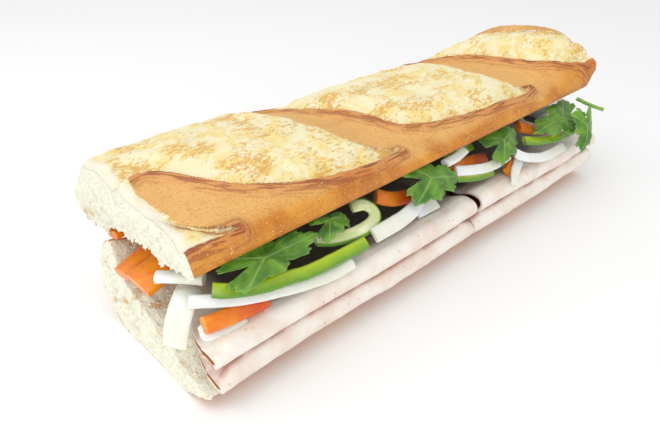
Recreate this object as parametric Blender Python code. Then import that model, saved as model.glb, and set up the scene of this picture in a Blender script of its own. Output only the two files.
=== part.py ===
"""A filled baguette: two bread halves, folded slices of meat, vegetable strips and herb leaves.

Frame: metres, +Z up, +X along the loaf, the open side of the bread faces -Y, the loaf rests on Z = 0.
"""

import bpy
import bmesh
import math
import numpy as np

# Upper half of the bread: a domed loaf top, cut square at both ends, its crumb side torn and sagging
TOP_NEAR, TOP_FAR = -0.1270, 0.1095
TOP_FRONT, TOP_BACK = -0.0290, 0.0520
TOP_EDGE_Z = 0.0497
TOP_EDGE_RISE = 0.0018
TOP_EDGE_FALL = 0.09
FAR_CORNER_FROM, FAR_CORNER_RISE = 0.102, 0.0065
FAR_CORNER_BACK, FAR_CORNER_FRONT = 0.004, -0.020
CROWN_AT = (-0.127, -0.110, -0.090, -0.070, -0.055, -0.040, -0.020, 0.0,
            0.020, 0.035, 0.050, 0.065, 0.080, 0.095, 0.110)
CROWN_Z = (0.0606, 0.0623, 0.0632, 0.0624, 0.0634, 0.0580, 0.0590, 0.0598,
           0.0602, 0.0630, 0.0603, 0.0580, 0.0632, 0.0690, 0.0750)
CROWN_BLEND = 0.010
FAR_LEAN, FAR_LEAN_FROM = 0.12, 0.070
FAR_DIP, FAR_DIP_FROM, FAR_DIP_AT, FAR_DIP_WIDTH = 0.0045, 0.080, -0.020, 0.009
DOME_FLANK, DOME_SHOULDER = 2.4, 0.45
SAG_DEPTH, SAG_AT, SAG_WIDTH = 0.0048, 0.037, 0.011
CRUMB_TUCK = 0.0006
CRUMB_LUMP, CRUMB_LUMP_SIZE = 0.0009, 0.011
TOP_STATIONS, TOP_ACROSS = 52, 18

# Diagonal slashes in the crust, the first and the last cut short by the loaf's ends. Each lies between
# a front lip and a rear edge, given by (x, y) points from the tip that the two share
SLASHES = (
    {"lip": [(-0.1085, -0.0255), (-0.1122, -0.0253), (-0.1166, -0.0248), (-0.1207, -0.0244),
             (-0.1240, -0.0243), (-0.1350, -0.0240), (-0.1500, -0.0230)],
     "rear": [(-0.1085, -0.0255), (-0.1125, -0.0229), (-0.1150, -0.0214), (-0.1177, -0.0192), (-0.1201, -0.0170),
              (-0.1226, -0.0144), (-0.1245, -0.0105), (-0.1262, -0.0060), (-0.1350, -0.0020), (-0.1500, 0.0000)]},
    {"lip": [(-0.0320, -0.0222), (-0.0358, -0.0226), (-0.0418, -0.0230), (-0.0505, -0.0236), (-0.0603, -0.0233),
             (-0.0690, -0.0225), (-0.0763, -0.0209), (-0.0829, -0.0187), (-0.0890, -0.0164), (-0.0935, -0.0141),
             (-0.0975, -0.0117), (-0.1022, -0.0075), (-0.1060, -0.0023), (-0.1081, 0.0010), (-0.1112, 0.0075),
             (-0.1144, 0.0125), (-0.1174, 0.0146), (-0.1212, 0.0147), (-0.1250, 0.0140), (-0.1310, 0.0180),
             (-0.1370, 0.0330), (-0.1400, 0.0460)],
     "rear": [(-0.0320, -0.0222), (-0.0353, -0.0175), (-0.0391, -0.0134), (-0.0421, -0.0083), (-0.0434, -0.0041),
              (-0.0446, 0.0000), (-0.0467, 0.0062), (-0.0491, 0.0145), (-0.0518, 0.0210), (-0.0538, 0.0277),
              (-0.0550, 0.0340), (-0.0580, 0.0395), (-0.0650, 0.0445), (-0.0780, 0.0475), (-0.1000, 0.0485),
              (-0.1200, 0.0480), (-0.1400, 0.0460)]},
    {"lip": [(0.0618, -0.0204), (0.0539, -0.0222), (0.0433, -0.0228), (0.0330, -0.0222), (0.0229, -0.0214),
             (0.0150, -0.0200), (0.0055, -0.0187), (-0.0021, -0.0171), (-0.0113, -0.0143), (-0.0168, -0.0118),
             (-0.0200, -0.0080), (-0.0219, -0.0024), (-0.0237, 0.0043), (-0.0256, 0.0111), (-0.0290, 0.0192),
             (-0.0334, 0.0266), (-0.0385, 0.0335), (-0.0440, 0.0394), (-0.0510, 0.0440)],
     "rear": [(0.0618, -0.0204), (0.0610, -0.0175), (0.0594, -0.0140), (0.0567, -0.0073), (0.0545, -0.0030),
              (0.0524, 0.0038), (0.0511, 0.0120), (0.0499, 0.0168), (0.0486, 0.0223), (0.0462, 0.0270),
              (0.0425, 0.0305), (0.0370, 0.0350), (0.0300, 0.0405), (0.0200, 0.0455), (0.0030, 0.0480),
              (-0.0200, 0.0480), (-0.0400, 0.0465), (-0.0510, 0.0440)]},
    {"lip": [(0.1250, -0.0300), (0.1150, -0.0290), (0.1059, -0.0266), (0.0945, -0.0221), (0.0877, -0.0171),
             (0.0825, -0.0119), (0.0795, -0.0060), (0.0777, -0.0012), (0.0765, 0.0034), (0.0752, 0.0113),
             (0.0735, 0.0185), (0.0713, 0.0245), (0.0680, 0.0305), (0.0630, 0.0360), (0.0560, 0.0420),
             (0.0500, 0.0455)],
     "rear": [(0.1250, -0.0300), (0.1165, -0.0220), (0.1120, -0.0150), (0.1094, -0.0108), (0.1067, -0.0051),
              (0.1045, 0.0023), (0.1021, 0.0121), (0.1010, 0.0174), (0.0998, 0.0240), (0.0965, 0.0330),
              (0.0850, 0.0430), (0.0700, 0.0470), (0.0580, 0.0470), (0.0500, 0.0455)]},
)
SLASH_STEPS = 80
SLASH_RISE, SLASH_RAMP = 0.0042, 0.012
LIP_RISE, LIP_WIDTH, LIP_SETBACK = 0.0018, 0.0035, 0.0015

# Lower half of the bread: a rounded loaf bottom whose crumb side slopes up to a rim at the back
LOW_NEAR, LOW_FAR = -0.1305, 0.1130
LOW_FRONT, LOW_BACK = -0.0322, 0.0385
FLAT_FRONT, FLAT_BACK = -0.0160, 0.0220
LOW_FRONT_Z, LOW_BACK_Z = 0.0056, 0.0150
LOW_FRONT_POWER, LOW_BACK_POWER = 1.6, 1.8
CRUMB_SLOPE = 0.33
RIM_AT, RIM_RISE, RIM_WIDTH = 0.0300, 0.0045, 0.0048
NEAR_RIM_RISE, NEAR_RIM_REACH = 0.0038, 0.022
LOW_LUMP = 0.0005
NEAR_LEAN = 0.10
LOW_STATIONS, LOW_ACROSS = 27, 16

# Meat: thin round slices folded in half, each fold lying along the open side
MEAT_THICK = 0.0018
MEAT_GAP = 0.0006
FOLD_Y, FOLD_REACH = -0.0318, 0.0046
FOLD_HALF = 0.0048
FOLD_FADE = 0.010
MEAT_DEPTH = 0.0520
MEAT_ROUND = 0.995
FAR_SHRINK = 0.22
EDGE_SWING, SWING_TURNS = 0.0004, 55.0
SLICE_STATIONS, SLICE_LEAF_POINTS, SLICE_FOLD_POINTS = 12, 4, 5

# Vegetable strips and herb leaves: how finely each is divided, and the leaves' thickness and waviness
STRIP_STEPS, STRIP_SIDES = 8, 6
SECTION_POWER = 0.7
LEAF_THICK, LEAF_WAVE = 0.0005, 0.0008
LEAF_RINGS, LEAF_AROUND = 3, 27

COLOURS = {
    "crust": ((0.62, 0.30, 0.10), 0.60),
    "meat": ((0.80, 0.62, 0.50), 0.45),
    "carrot": ((0.85, 0.28, 0.02), 0.40),
    "radish": ((0.85, 0.84, 0.74), 0.35),
    "pepper": ((0.30, 0.48, 0.05), 0.30),
    "herb": ((0.07, 0.24, 0.03), 0.45),
}


def smooth(low, high, value):
    t = np.clip((np.asarray(value, dtype=float) - low) / (high - low), 0.0, 1.0)
    return t * t * (3.0 - 2.0 * t)


def lumps(points, size, seed):
    """Smooth value noise from a seeded lattice, between -1 and 1."""
    lattice = np.random.default_rng(seed).uniform(-1.0, 1.0, (16, 16, 16))
    cell = np.asarray(points, dtype=float) / size
    base = np.floor(cell).astype(int)
    part = cell - base
    part = part * part * (3.0 - 2.0 * part)
    total = np.zeros(cell.shape[:-1])
    for corner in np.ndindex(2, 2, 2):
        index = (base + corner) % 16
        weight = np.prod(np.where(np.array(corner) == 1, part, 1.0 - part), axis=-1)
        total += weight * lattice[index[..., 0], index[..., 1], index[..., 2]]
    return total


def make_material(name):
    colour, roughness = COLOURS[name]
    material = bpy.data.materials.new(name)
    material.use_nodes = True
    shader = material.node_tree.nodes["Principled BSDF"]
    shader.inputs["Base Color"].default_value = (*colour, 1.0)
    shader.inputs["Roughness"].default_value = roughness
    shader.inputs["Metallic"].default_value = 0.0
    return material


def make_object(name, vertices, faces, material, flat_angle=40.0):
    mesh = bpy.data.meshes.new(name)
    mesh.from_pydata([tuple(float(c) for c in v) for v in vertices], [], faces)
    edit = bmesh.new()
    edit.from_mesh(mesh)
    bmesh.ops.triangulate(edit, faces=edit.faces)
    bmesh.ops.recalc_face_normals(edit, faces=edit.faces)
    edit.to_mesh(mesh)
    edit.free()
    mesh.shade_smooth()
    mesh.set_sharp_from_angle(angle=math.radians(flat_angle))
    mesh.materials.append(material)
    piece = bpy.data.objects.new(name, mesh)
    bpy.context.scene.collection.objects.link(piece)
    return piece


# Bread

def across_loaf(front, back, t):
    """Y of a point whose t runs from -1 at the front edge to 1 at the back edge."""
    return (front + back) / 2.0 + (back - front) / 2.0 * t


def curve_points(path, steps):
    """Evenly stepped points of a smooth curve through a few hand-set points."""
    path = np.array(path, dtype=float)
    before, after = 2.0 * path[0] - path[1], 2.0 * path[-1] - path[-2]
    knots = np.vstack([before, path, after])
    dense = []
    for i in range(1, len(knots) - 2):
        p0, p1, p2, p3 = knots[i - 1:i + 3]
        for u in np.linspace(0.0, 1.0, 20, endpoint=False):
            part = (2.0 * p1) + (p2 - p0) * u + (2.0 * p0 - 5.0 * p1 + 4.0 * p2 - p3) * u ** 2
            dense.append(0.5 * (part + (3.0 * p1 - p0 - 3.0 * p2 + p3) * u ** 3))
    dense = np.array(dense + [path[-1]])
    length = np.concatenate([[0.0], np.cumsum(np.linalg.norm(np.diff(dense, axis=0), axis=1))])
    even = np.linspace(0.0, length[-1], steps)
    return np.stack([np.interp(even, length, dense[:, c]) for c in range(path.shape[1])], axis=-1)


def distance_to(line, x, y):
    """Distance of each point (x, y) from a line of straight steps."""
    nearest = np.full(x.shape, 1.0)
    for (ax, ay), (bx, by) in zip(line[:-1], line[1:]):
        dx, dy = bx - ax, by - ay
        share = np.clip(((x - ax) * dx + (y - ay) * dy) / (dx * dx + dy * dy), 0.0, 1.0)
        nearest = np.minimum(nearest, np.hypot(x - ax - share * dx, y - ay - share * dy))
    return nearest


def within_ring(ring, x, y):
    """Whether each point (x, y) lies inside a closed outline."""
    inside = np.zeros(x.shape, dtype=bool)
    for (ax, ay), (bx, by) in zip(ring, np.roll(ring, -1, axis=0)):
        if ay != by:
            inside ^= ((ay > y) != (by > y)) & (x < (bx - ax) * (y - ay) / (by - ay) + ax)
    return inside


def slash_fields(x, y):
    """Signed distance into the nearest slash, and signed distance from the nearest front lip."""
    field = np.full(x.shape, -1.0)
    lip_field = np.full(x.shape, -1.0)
    for slash in SLASHES:
        lip, rear = curve_points(slash["lip"], SLASH_STEPS), curve_points(slash["rear"], SLASH_STEPS)
        to_lip, to_rear = distance_to(lip, x, y), distance_to(rear, x, y)
        inside = within_ring(np.vstack([lip, rear[::-1]]), x, y)
        field = np.maximum(field, np.where(inside, 1.0, -1.0) * np.minimum(to_lip, to_rear))
        signed = np.where(inside, to_lip, -to_lip)
        lip_field = np.where(np.abs(signed) < np.abs(lip_field), signed, lip_field)
    return field, lip_field


def top_edge(x, y):
    """Height of the crust's lower edge: rises a little along the loaf and at the far front corner."""
    along = TOP_EDGE_RISE * (x - TOP_NEAR) / (TOP_FAR - TOP_NEAR)
    corner = FAR_CORNER_RISE * smooth(FAR_CORNER_FROM, TOP_FAR, x) * smooth(FAR_CORNER_BACK, FAR_CORNER_FRONT, y)
    return TOP_EDGE_Z + along - TOP_EDGE_FALL * (y - TOP_FRONT) + corner


def top_crown(x, y):
    """Height of the loaf's back, which is waisted between the slashes and leans over at the far end."""
    spread = np.linspace(-CROWN_BLEND, CROWN_BLEND, 9)
    level = np.mean([np.interp(x + shift, CROWN_AT, CROWN_Z) for shift in spread], axis=0)
    lean = FAR_LEAN * smooth(FAR_LEAN_FROM, TOP_FAR, x)
    return level + lean * ((TOP_FRONT + TOP_BACK) / 2.0 - y)


def top_crust(x, t):
    half = (TOP_BACK - TOP_FRONT) / 2.0
    y = across_loaf(TOP_FRONT, TOP_BACK, t)
    edge = top_edge(x, y)
    tall = top_crown(x, y) - edge
    height = tall * (1.0 - np.abs(t) ** DOME_FLANK) ** DOME_SHOULDER
    field, lip_field = slash_fields(x, y)
    relief = SLASH_RISE * smooth(-0.001, SLASH_RAMP, field)
    relief += LIP_RISE * np.exp(-((lip_field + LIP_SETBACK) / LIP_WIDTH) ** 2)
    dip = FAR_DIP * np.exp(-((y - FAR_DIP_AT) / FAR_DIP_WIDTH) ** 2)
    relief -= dip * smooth(FAR_DIP_FROM, TOP_FAR, x)
    relief *= smooth(1.0, 0.97, np.abs(t))
    out_y = t / half
    out_z = height / tall ** 2
    length = np.hypot(out_y, out_z) + 1e-9
    return np.stack([x, y + relief * out_y / length, edge + height + relief * out_z / length], axis=-1)


def top_crumb(x, t):
    y = across_loaf(TOP_FRONT, TOP_BACK, t)
    z = top_edge(x, y)
    hold = smooth(1.0, 0.9, np.abs(t))
    sag = SAG_DEPTH * np.exp(-((y - SAG_AT) / SAG_WIDTH) ** 2)
    lump = CRUMB_LUMP * lumps(np.stack([x, y, 0.0 * x], axis=-1), CRUMB_LUMP_SIZE, 4)
    return np.stack([x, y, z - hold * (sag + lump + CRUMB_TUCK)], axis=-1)


def low_crumb_height(y):
    return LOW_FRONT_Z + CRUMB_SLOPE * (y - LOW_FRONT)


def low_crumb(x, t):
    y = across_loaf(LOW_FRONT, LOW_BACK, t)
    rise = RIM_RISE + NEAR_RIM_RISE * smooth(LOW_NEAR + NEAR_RIM_REACH, LOW_NEAR, x)
    full = low_crumb_height(y) + rise * np.exp(-((y - RIM_AT) / RIM_WIDTH) ** 2)
    over = np.clip((y - RIM_AT) / (LOW_BACK - RIM_AT), 0.0, 1.0)
    top = low_crumb_height(RIM_AT) + rise
    shoulder = LOW_BACK_Z + (top - LOW_BACK_Z) * np.sqrt(np.clip(1.0 - over ** 2, 0.0, 1.0))
    z = np.where(y > RIM_AT, shoulder, full)
    hold = smooth(1.0, 0.93, np.abs(t))
    lump = LOW_LUMP * lumps(np.stack([x, y, 0.0 * x], axis=-1), CRUMB_LUMP_SIZE, 9)
    return np.stack([x, y, z + hold * (lump - LOW_LUMP)], axis=-1)


def low_crust(x, t):
    y = across_loaf(LOW_FRONT, LOW_BACK, t)
    front = np.clip((FLAT_FRONT - y) / (FLAT_FRONT - LOW_FRONT), 0.0, 1.0)
    back = np.clip((y - FLAT_BACK) / (LOW_BACK - FLAT_BACK), 0.0, 1.0)
    z = LOW_FRONT_Z * front ** LOW_FRONT_POWER + LOW_BACK_Z * back ** LOW_BACK_POWER
    return np.stack([x, y, z], axis=-1)


def loaf_half(name, near, far, stations, across, upper, lower, lean, material):
    """A cushion-like solid: an upper and a lower sheet that share their long edges, with two cut ends."""
    x = near + (far - near) * np.linspace(0.0, 1.0, stations)
    t = -np.cos(np.pi * np.linspace(0.0, 1.0, across + 1))
    t[0], t[-1] = -1.0, 1.0
    grid_x, grid_t = np.meshgrid(x, t, indexing="ij")
    high = upper(grid_x, grid_t)
    low = lower(grid_x, grid_t)
    low[:, 0], low[:, -1] = high[:, 0], high[:, -1]
    high[0, :, 0] += lean * high[0, :, 2]
    low[0, :, 0] += lean * low[0, :, 2]
    vertices = list(high.reshape(-1, 3))
    row = across + 1
    top_index = np.arange(stations * row).reshape(stations, row)
    low_index = top_index.copy()
    for i in range(stations):
        for j in range(1, across):
            low_index[i, j] = len(vertices)
            vertices.append(low[i, j])
    faces = []
    for i in range(stations - 1):
        for j in range(across):
            faces.append([top_index[i, j], top_index[i + 1, j], top_index[i + 1, j + 1], top_index[i, j + 1]])
            faces.append([low_index[i, j], low_index[i, j + 1], low_index[i + 1, j + 1], low_index[i + 1, j]])
    for i in (0, stations - 1):
        for j in range(across):
            ring = [top_index[i, j], top_index[i, j + 1], low_index[i, j + 1], low_index[i, j]]
            faces.append(list(dict.fromkeys(ring)))
    faces = [[int(v) for v in dict.fromkeys(face)] for face in faces]
    return make_object(name, vertices, faces, material)


# Meat

def meat_top(level, y):
    """Upper surface of a stack of that many folded slices, away from their folds."""
    return low_crumb_height(y) + MEAT_GAP + level * (2.0 * MEAT_THICK + 2.0 * MEAT_GAP)


def fold_opening(y):
    """How far the two leaves of a slice stand apart behind the fold."""
    spread = 2.0 * FOLD_HALF - 2.0 * MEAT_THICK - MEAT_GAP
    return spread * np.exp(-((y - FOLD_Y) / FOLD_FADE) ** 2)


def slice_section(level, reach, shrink):
    """The outer and the inner line of a slice cut across its fold, as (y, z) pairs."""
    lift = MEAT_GAP + level * fold_opening(FOLD_Y)
    distance = np.linspace(1.0, 0.0, SLICE_LEAF_POINTS + 1)[:-1] ** 1.4 * reach
    y = FOLD_Y + distance
    low = meat_top(level, y) + MEAT_GAP + level * fold_opening(y)
    high = low + MEAT_THICK + MEAT_GAP + shrink * fold_opening(y)
    low_fold = meat_top(level, FOLD_Y) + lift
    high_fold = low_fold + 2.0 * MEAT_THICK + MEAT_GAP + shrink * fold_opening(FOLD_Y)
    middle, tall = (low_fold + high_fold) / 2.0, (high_fold - low_fold) / 2.0
    turn = np.linspace(0.0, math.pi, SLICE_FOLD_POINTS + 1)
    inner_reach, inner_tall = FOLD_REACH - MEAT_THICK, tall - MEAT_THICK
    outer_fold = zip(FOLD_Y - FOLD_REACH * np.sin(turn), middle + tall * np.cos(turn))
    inner_fold = zip(FOLD_Y - inner_reach * np.sin(turn), middle + inner_tall * np.cos(turn))
    outer = [*zip(y, high + MEAT_THICK), *outer_fold, *zip(y[::-1], low[::-1])]
    inner = [*zip(y, high), *inner_fold, *zip(y[::-1], low[::-1] + MEAT_THICK)]
    return outer, inner


def folded_slice(name, level, x_from, x_to, wave, near_shrink, material):
    """A half disc of two thin leaves joined by a round fold along the open side, flattened at its ends."""
    centre, half = (x_from + x_to) / 2.0, (x_to - x_from) / 2.0
    vertices = []
    for along in -np.cos(np.pi * np.linspace(0.0, 1.0, SLICE_STATIONS)):
        x = centre + half * along
        reach = MEAT_DEPTH * math.sqrt(1.0 - min(abs(along), MEAT_ROUND) ** 2)
        shrink = near_shrink if along < 0.0 else FAR_SHRINK
        outer, inner = slice_section(level, reach, 1.0 - shrink * abs(along) ** 6)
        swing = EDGE_SWING * math.sin(wave + SWING_TURNS * x)
        vertices += [(x, y + swing, z) for y, z in outer + inner[::-1]]
    count = len(outer)
    ring = 2 * count
    faces = []
    for i in range(SLICE_STATIONS - 1):
        for k in range(ring):
            a, b = i * ring + k, i * ring + (k + 1) % ring
            faces.append([a, b, b + ring, a + ring])
    for start in (0, (SLICE_STATIONS - 1) * ring):
        for k in range(count - 1):
            faces.append([start + k, start + k + 1, start + ring - 2 - k, start + ring - 1 - k])
    return make_object(name, vertices, faces, material)


# Strips

def strip(name, material, path, width, thick, roll=(0.0, 0.0), cup=0.0, ends=(0.4, 0.4), across=None,
          taper=(0.14, 0.14)):
    """A cut strip: a rounded flat section carried along a path, rolled about it, thinned over each taper."""
    steps, sides = STRIP_STEPS, STRIP_SIDES
    centre = curve_points(path, steps)
    run = np.gradient(centre, axis=0)
    run /= np.linalg.norm(run, axis=1)[:, None]
    vertices = []
    for i, point in enumerate(centre):
        s = i / (steps - 1)
        side = np.cross(run[i], (0.0, 0.0, 1.0))
        if across is not None:
            side = np.array(across) - run[i] * np.dot(across, run[i])
        side /= np.linalg.norm(side)
        up = np.cross(side, run[i])
        angle = math.radians(roll[0] + (roll[1] - roll[0]) * s)
        wide = math.cos(angle) * side + math.sin(angle) * up
        flat = -math.sin(angle) * side + math.cos(angle) * up
        size = float((ends[0] + (1.0 - ends[0]) * smooth(0.0, taper[0], s))
                     * (ends[1] + (1.0 - ends[1]) * smooth(0.0, taper[1], 1.0 - s)))
        for k in range(sides):
            q = 2.0 * math.pi * (k + 0.5) / sides
            w = math.copysign(abs(math.cos(q)) ** SECTION_POWER, math.cos(q)) * width / 2.0 * size
            h = math.copysign(abs(math.sin(q)) ** SECTION_POWER, math.sin(q)) * thick / 2.0 * size
            bend = cup * ((2.0 * w / width) ** 2 - 0.5)
            vertices.append(point + wide * w + flat * (h + bend))
    faces = []
    for i in range(steps - 1):
        for k in range(sides):
            a, b = i * sides + k, i * sides + (k + 1) % sides
            faces.append([a, b, b + sides, a + sides])
    for start in (0, (steps - 1) * sides):
        hub = len(vertices)
        vertices.append(np.mean(vertices[start:start + sides], axis=0))
        for k in range(sides):
            faces.append([start + k, start + (k + 1) % sides, hub])
    return make_object(name, vertices, faces, material)


# Herb leaves

def leaf_outline(angle):
    """Distance from the heart of a leaf to its edge: three broad lobes, each toothed."""
    lobes = 0.70 + 0.30 * abs(math.cos(1.5 * angle)) ** 0.8
    teeth = 1.0 + 0.09 * math.cos(9.0 * angle)
    stem_notch = 1.0 - 0.55 * math.exp(-((abs(angle) - math.pi) / 0.35) ** 2)
    return lobes * teeth * stem_notch


def leaf(name, material, heart, length, width, heading, tilt, lean, droop=0.003):
    """A thin wavy leaf whose tip points along the heading; tilt turns it down, lean rolls it sideways."""
    rings, around = LEAF_RINGS, LEAF_AROUND
    turn, down, roll = (math.radians(a) for a in (heading, tilt, lean))
    tip = np.array([math.cos(turn) * math.cos(down), math.sin(turn) * math.cos(down), -math.sin(down)])
    flat_side = np.array([-math.sin(turn), math.cos(turn), 0.0])
    up = np.cross(tip, flat_side)
    side = math.cos(roll) * flat_side + math.sin(roll) * up
    normal = np.cross(tip, side)
    vertices = []
    for face in (1.0, -1.0):
        for ring in range(rings + 1):
            share = ring / rings
            for k in range(around if ring else 1):
                angle = 2.0 * math.pi * k / around
                reach = share * leaf_outline(angle if angle <= math.pi else angle - 2.0 * math.pi)
                a, b = reach * math.cos(angle), reach * math.sin(angle)
                rise = -droop * (a * a + b * b) + LEAF_WAVE * share * math.sin(3.0 * angle)
                point = np.array(heart) + tip * a * length / 2.0 + side * b * width / 2.0
                vertices.append(point + normal * (rise + face * LEAF_THICK / 2.0))
    half = len(vertices) // 2
    faces = []
    for base, order in ((0, 1), (half, -1)):
        for k in range(around):
            n = (k + 1) % around
            faces.append([base, base + 1 + k, base + 1 + n][::order])
            for ring in range(rings - 1):
                inner, outer = base + 1 + ring * around, base + 1 + (ring + 1) * around
                faces.append([inner + k, outer + k, outer + n][::order])
                faces.append([inner + k, outer + n, inner + n][::order])
    rim = 1 + (rings - 1) * around
    for k in range(around):
        n = (k + 1) % around
        faces.append([rim + k, half + rim + k, half + rim + n, rim + n])
    return make_object(name, vertices, faces, material)


# Where each strip runs (x, y, z in metres), its width and thickness, and how far it is rolled over

CARROTS = {
    "carrot_1": dict(path=[(-0.1296, 0.0176, 0.0272), (-0.1140, 0.0196, 0.0315), (-0.0880, 0.0240, 0.0372)],
                     width=0.0085, thick=0.0045, roll=(5, 0)),
    "carrot_2": dict(path=[(-0.1300, 0.0045, 0.0300), (-0.1195, 0.0050, 0.0328), (-0.1080, 0.0064, 0.0352),
                           (-0.0880, 0.0070, 0.0365)], width=0.0130, thick=0.0042, roll=(-8, 0), ends=(0.6, 0.4)),
    "carrot_3": dict(path=[(-0.1258, 0.0285, 0.0372), (-0.1150, 0.0295, 0.0372), (-0.1040, 0.0300, 0.0374)],
                     width=0.0065, thick=0.0036),
    "carrot_4": dict(path=[(-0.1263, -0.0296, 0.0322), (-0.1155, -0.0300, 0.0308), (-0.1033, -0.0296, 0.0296)],
                     width=0.0056, thick=0.0034, roll=(-50, -50), ends=(0.7, 0.2), taper=(0.12, 0.8)),
    "carrot_5": dict(path=[(-0.0428, -0.0205, 0.0405), (-0.0358, -0.0228, 0.0374), (-0.0240, -0.0232, 0.0346)],
                     width=0.0060, thick=0.0030, roll=(-50, -50), ends=(0.25, 0.25), taper=(0.4, 0.4)),
    "carrot_6": dict(path=[(0.0035, -0.0222, 0.0372), (0.0140, -0.0222, 0.0364), (0.0280, -0.0222, 0.0340)],
                     width=0.0050, thick=0.0026, roll=(-50, -50), ends=(0.3, 0.3), taper=(0.3, 0.3)),
    "carrot_7": dict(path=[(0.0322, -0.0322, 0.0288), (0.0375, -0.0305, 0.0302), (0.0466, -0.0280, 0.0300)],
                     width=0.0044, thick=0.0026, roll=(-45, -45), ends=(0.6, 0.4)),
    "carrot_8": dict(path=[(0.0566, -0.0205, 0.0406), (0.0641, -0.0230, 0.0377), (0.0788, -0.0240, 0.0337)],
                     width=0.0058, thick=0.0034, roll=(-40, -40)),
    "carrot_9": dict(path=[(-0.0800, 0.0290, 0.0372), (-0.0400, 0.0312, 0.0368), (-0.0080, 0.0285, 0.0372)],
                     width=0.0068, thick=0.0036),
    "carrot_10": dict(path=[(0.0780, 0.0060, 0.0365), (0.0950, 0.0050, 0.0372), (0.1150, 0.0055, 0.0368)],
                      width=0.0080, thick=0.0042),
}

RADISHES = {
    "radish_1": dict(path=[(-0.1276, -0.0055, 0.0378), (-0.1223, -0.0110, 0.0380), (-0.1174, -0.0172, 0.0381)],
                     width=0.0044, thick=0.0034, ends=(0.45, 0.6)),
    "radish_2": dict(path=[(-0.1195, -0.0110, 0.0325), (-0.1252, -0.0165, 0.0332), (-0.1296, -0.0190, 0.0288),
                           (-0.1318, -0.0185, 0.0205)], width=0.0095, thick=0.0016, cup=0.0008, ends=(0.8, 0.5),
                     across=(0.35, -0.94, 0.0)),
    "radish_3": dict(path=[(-0.1263, -0.0225, 0.0371), (-0.1214, -0.0262, 0.0369), (-0.1131, -0.0298, 0.0352),
                           (-0.1031, -0.0318, 0.0332), (-0.0921, -0.0334, 0.0311), (-0.0794, -0.0342, 0.0292),
                           (-0.0687, -0.0346, 0.0294)],
                     width=0.0042, thick=0.0018, roll=(-50, -50), ends=(0.15, 0.6), taper=(0.15, 0.1)),
    "radish_4": dict(path=[(-0.0220, -0.0262, 0.0358), (-0.0297, -0.0298, 0.0344), (-0.0384, -0.0317, 0.0343),
                           (-0.0459, -0.0323, 0.0342), (-0.0556, -0.0321, 0.0339)],
                     width=0.0060, thick=0.0018, roll=(50, 50), ends=(0.35, 0.4), taper=(0.25, 0.15)),
    "radish_5": dict(path=[(-0.0262, -0.0272, 0.0296), (-0.0145, -0.0282, 0.0304)],
                     width=0.0062, thick=0.0015, roll=(-40, -40)),
    "radish_6": dict(path=[(0.0001, -0.0265, 0.0385), (0.0074, -0.0285, 0.0371), (0.0166, -0.0300, 0.0355),
                           (0.0242, -0.0310, 0.0357), (0.0322, -0.0312, 0.0370)],
                     width=0.0044, thick=0.0018, roll=(-50, -50), ends=(0.2, 0.2), taper=(0.35, 0.35)),
    "radish_7": dict(path=[(0.0427, -0.0315, 0.0315), (0.0351, -0.0345, 0.0290), (0.0306, -0.0378, 0.0250)],
                     width=0.0052, thick=0.0015, roll=(45, 45), ends=(0.7, 0.5)),
    "radish_8": dict(path=[(0.0376, -0.0315, 0.0364), (0.0427, -0.0345, 0.0337), (0.0535, -0.0360, 0.0305),
                           (0.0645, -0.0362, 0.0293), (0.0775, -0.0350, 0.0285)],
                     width=0.0046, thick=0.0014, roll=(-45, -45), ends=(0.5, 0.3), taper=(0.2, 0.3)),
    "radish_9": dict(path=[(-0.0065, -0.0250, 0.0435), (0.0010, -0.0250, 0.0438), (0.0090, -0.0235, 0.0440)],
                     width=0.0040, thick=0.0024, roll=(-20, -20)),
    "radish_10": dict(path=[(-0.1255, -0.0256, 0.0291), (-0.1258, -0.0292, 0.0272), (-0.1201, -0.0312, 0.0276),
                            (-0.1126, -0.0312, 0.0278)], width=0.0022, thick=0.0010, roll=(-45, -45), ends=(0.6, 0.5)),
    "radish_11": dict(path=[(0.0000, 0.0255, 0.0372), (0.0300, 0.0280, 0.0368), (0.0600, 0.0265, 0.0374)],
                      width=0.0062, thick=0.0034),
    "radish_12": dict(path=[(0.0820, -0.0130, 0.0350), (0.0980, -0.0120, 0.0360), (0.1165, -0.0125, 0.0352)],
                      width=0.0080, thick=0.0036),
}

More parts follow.
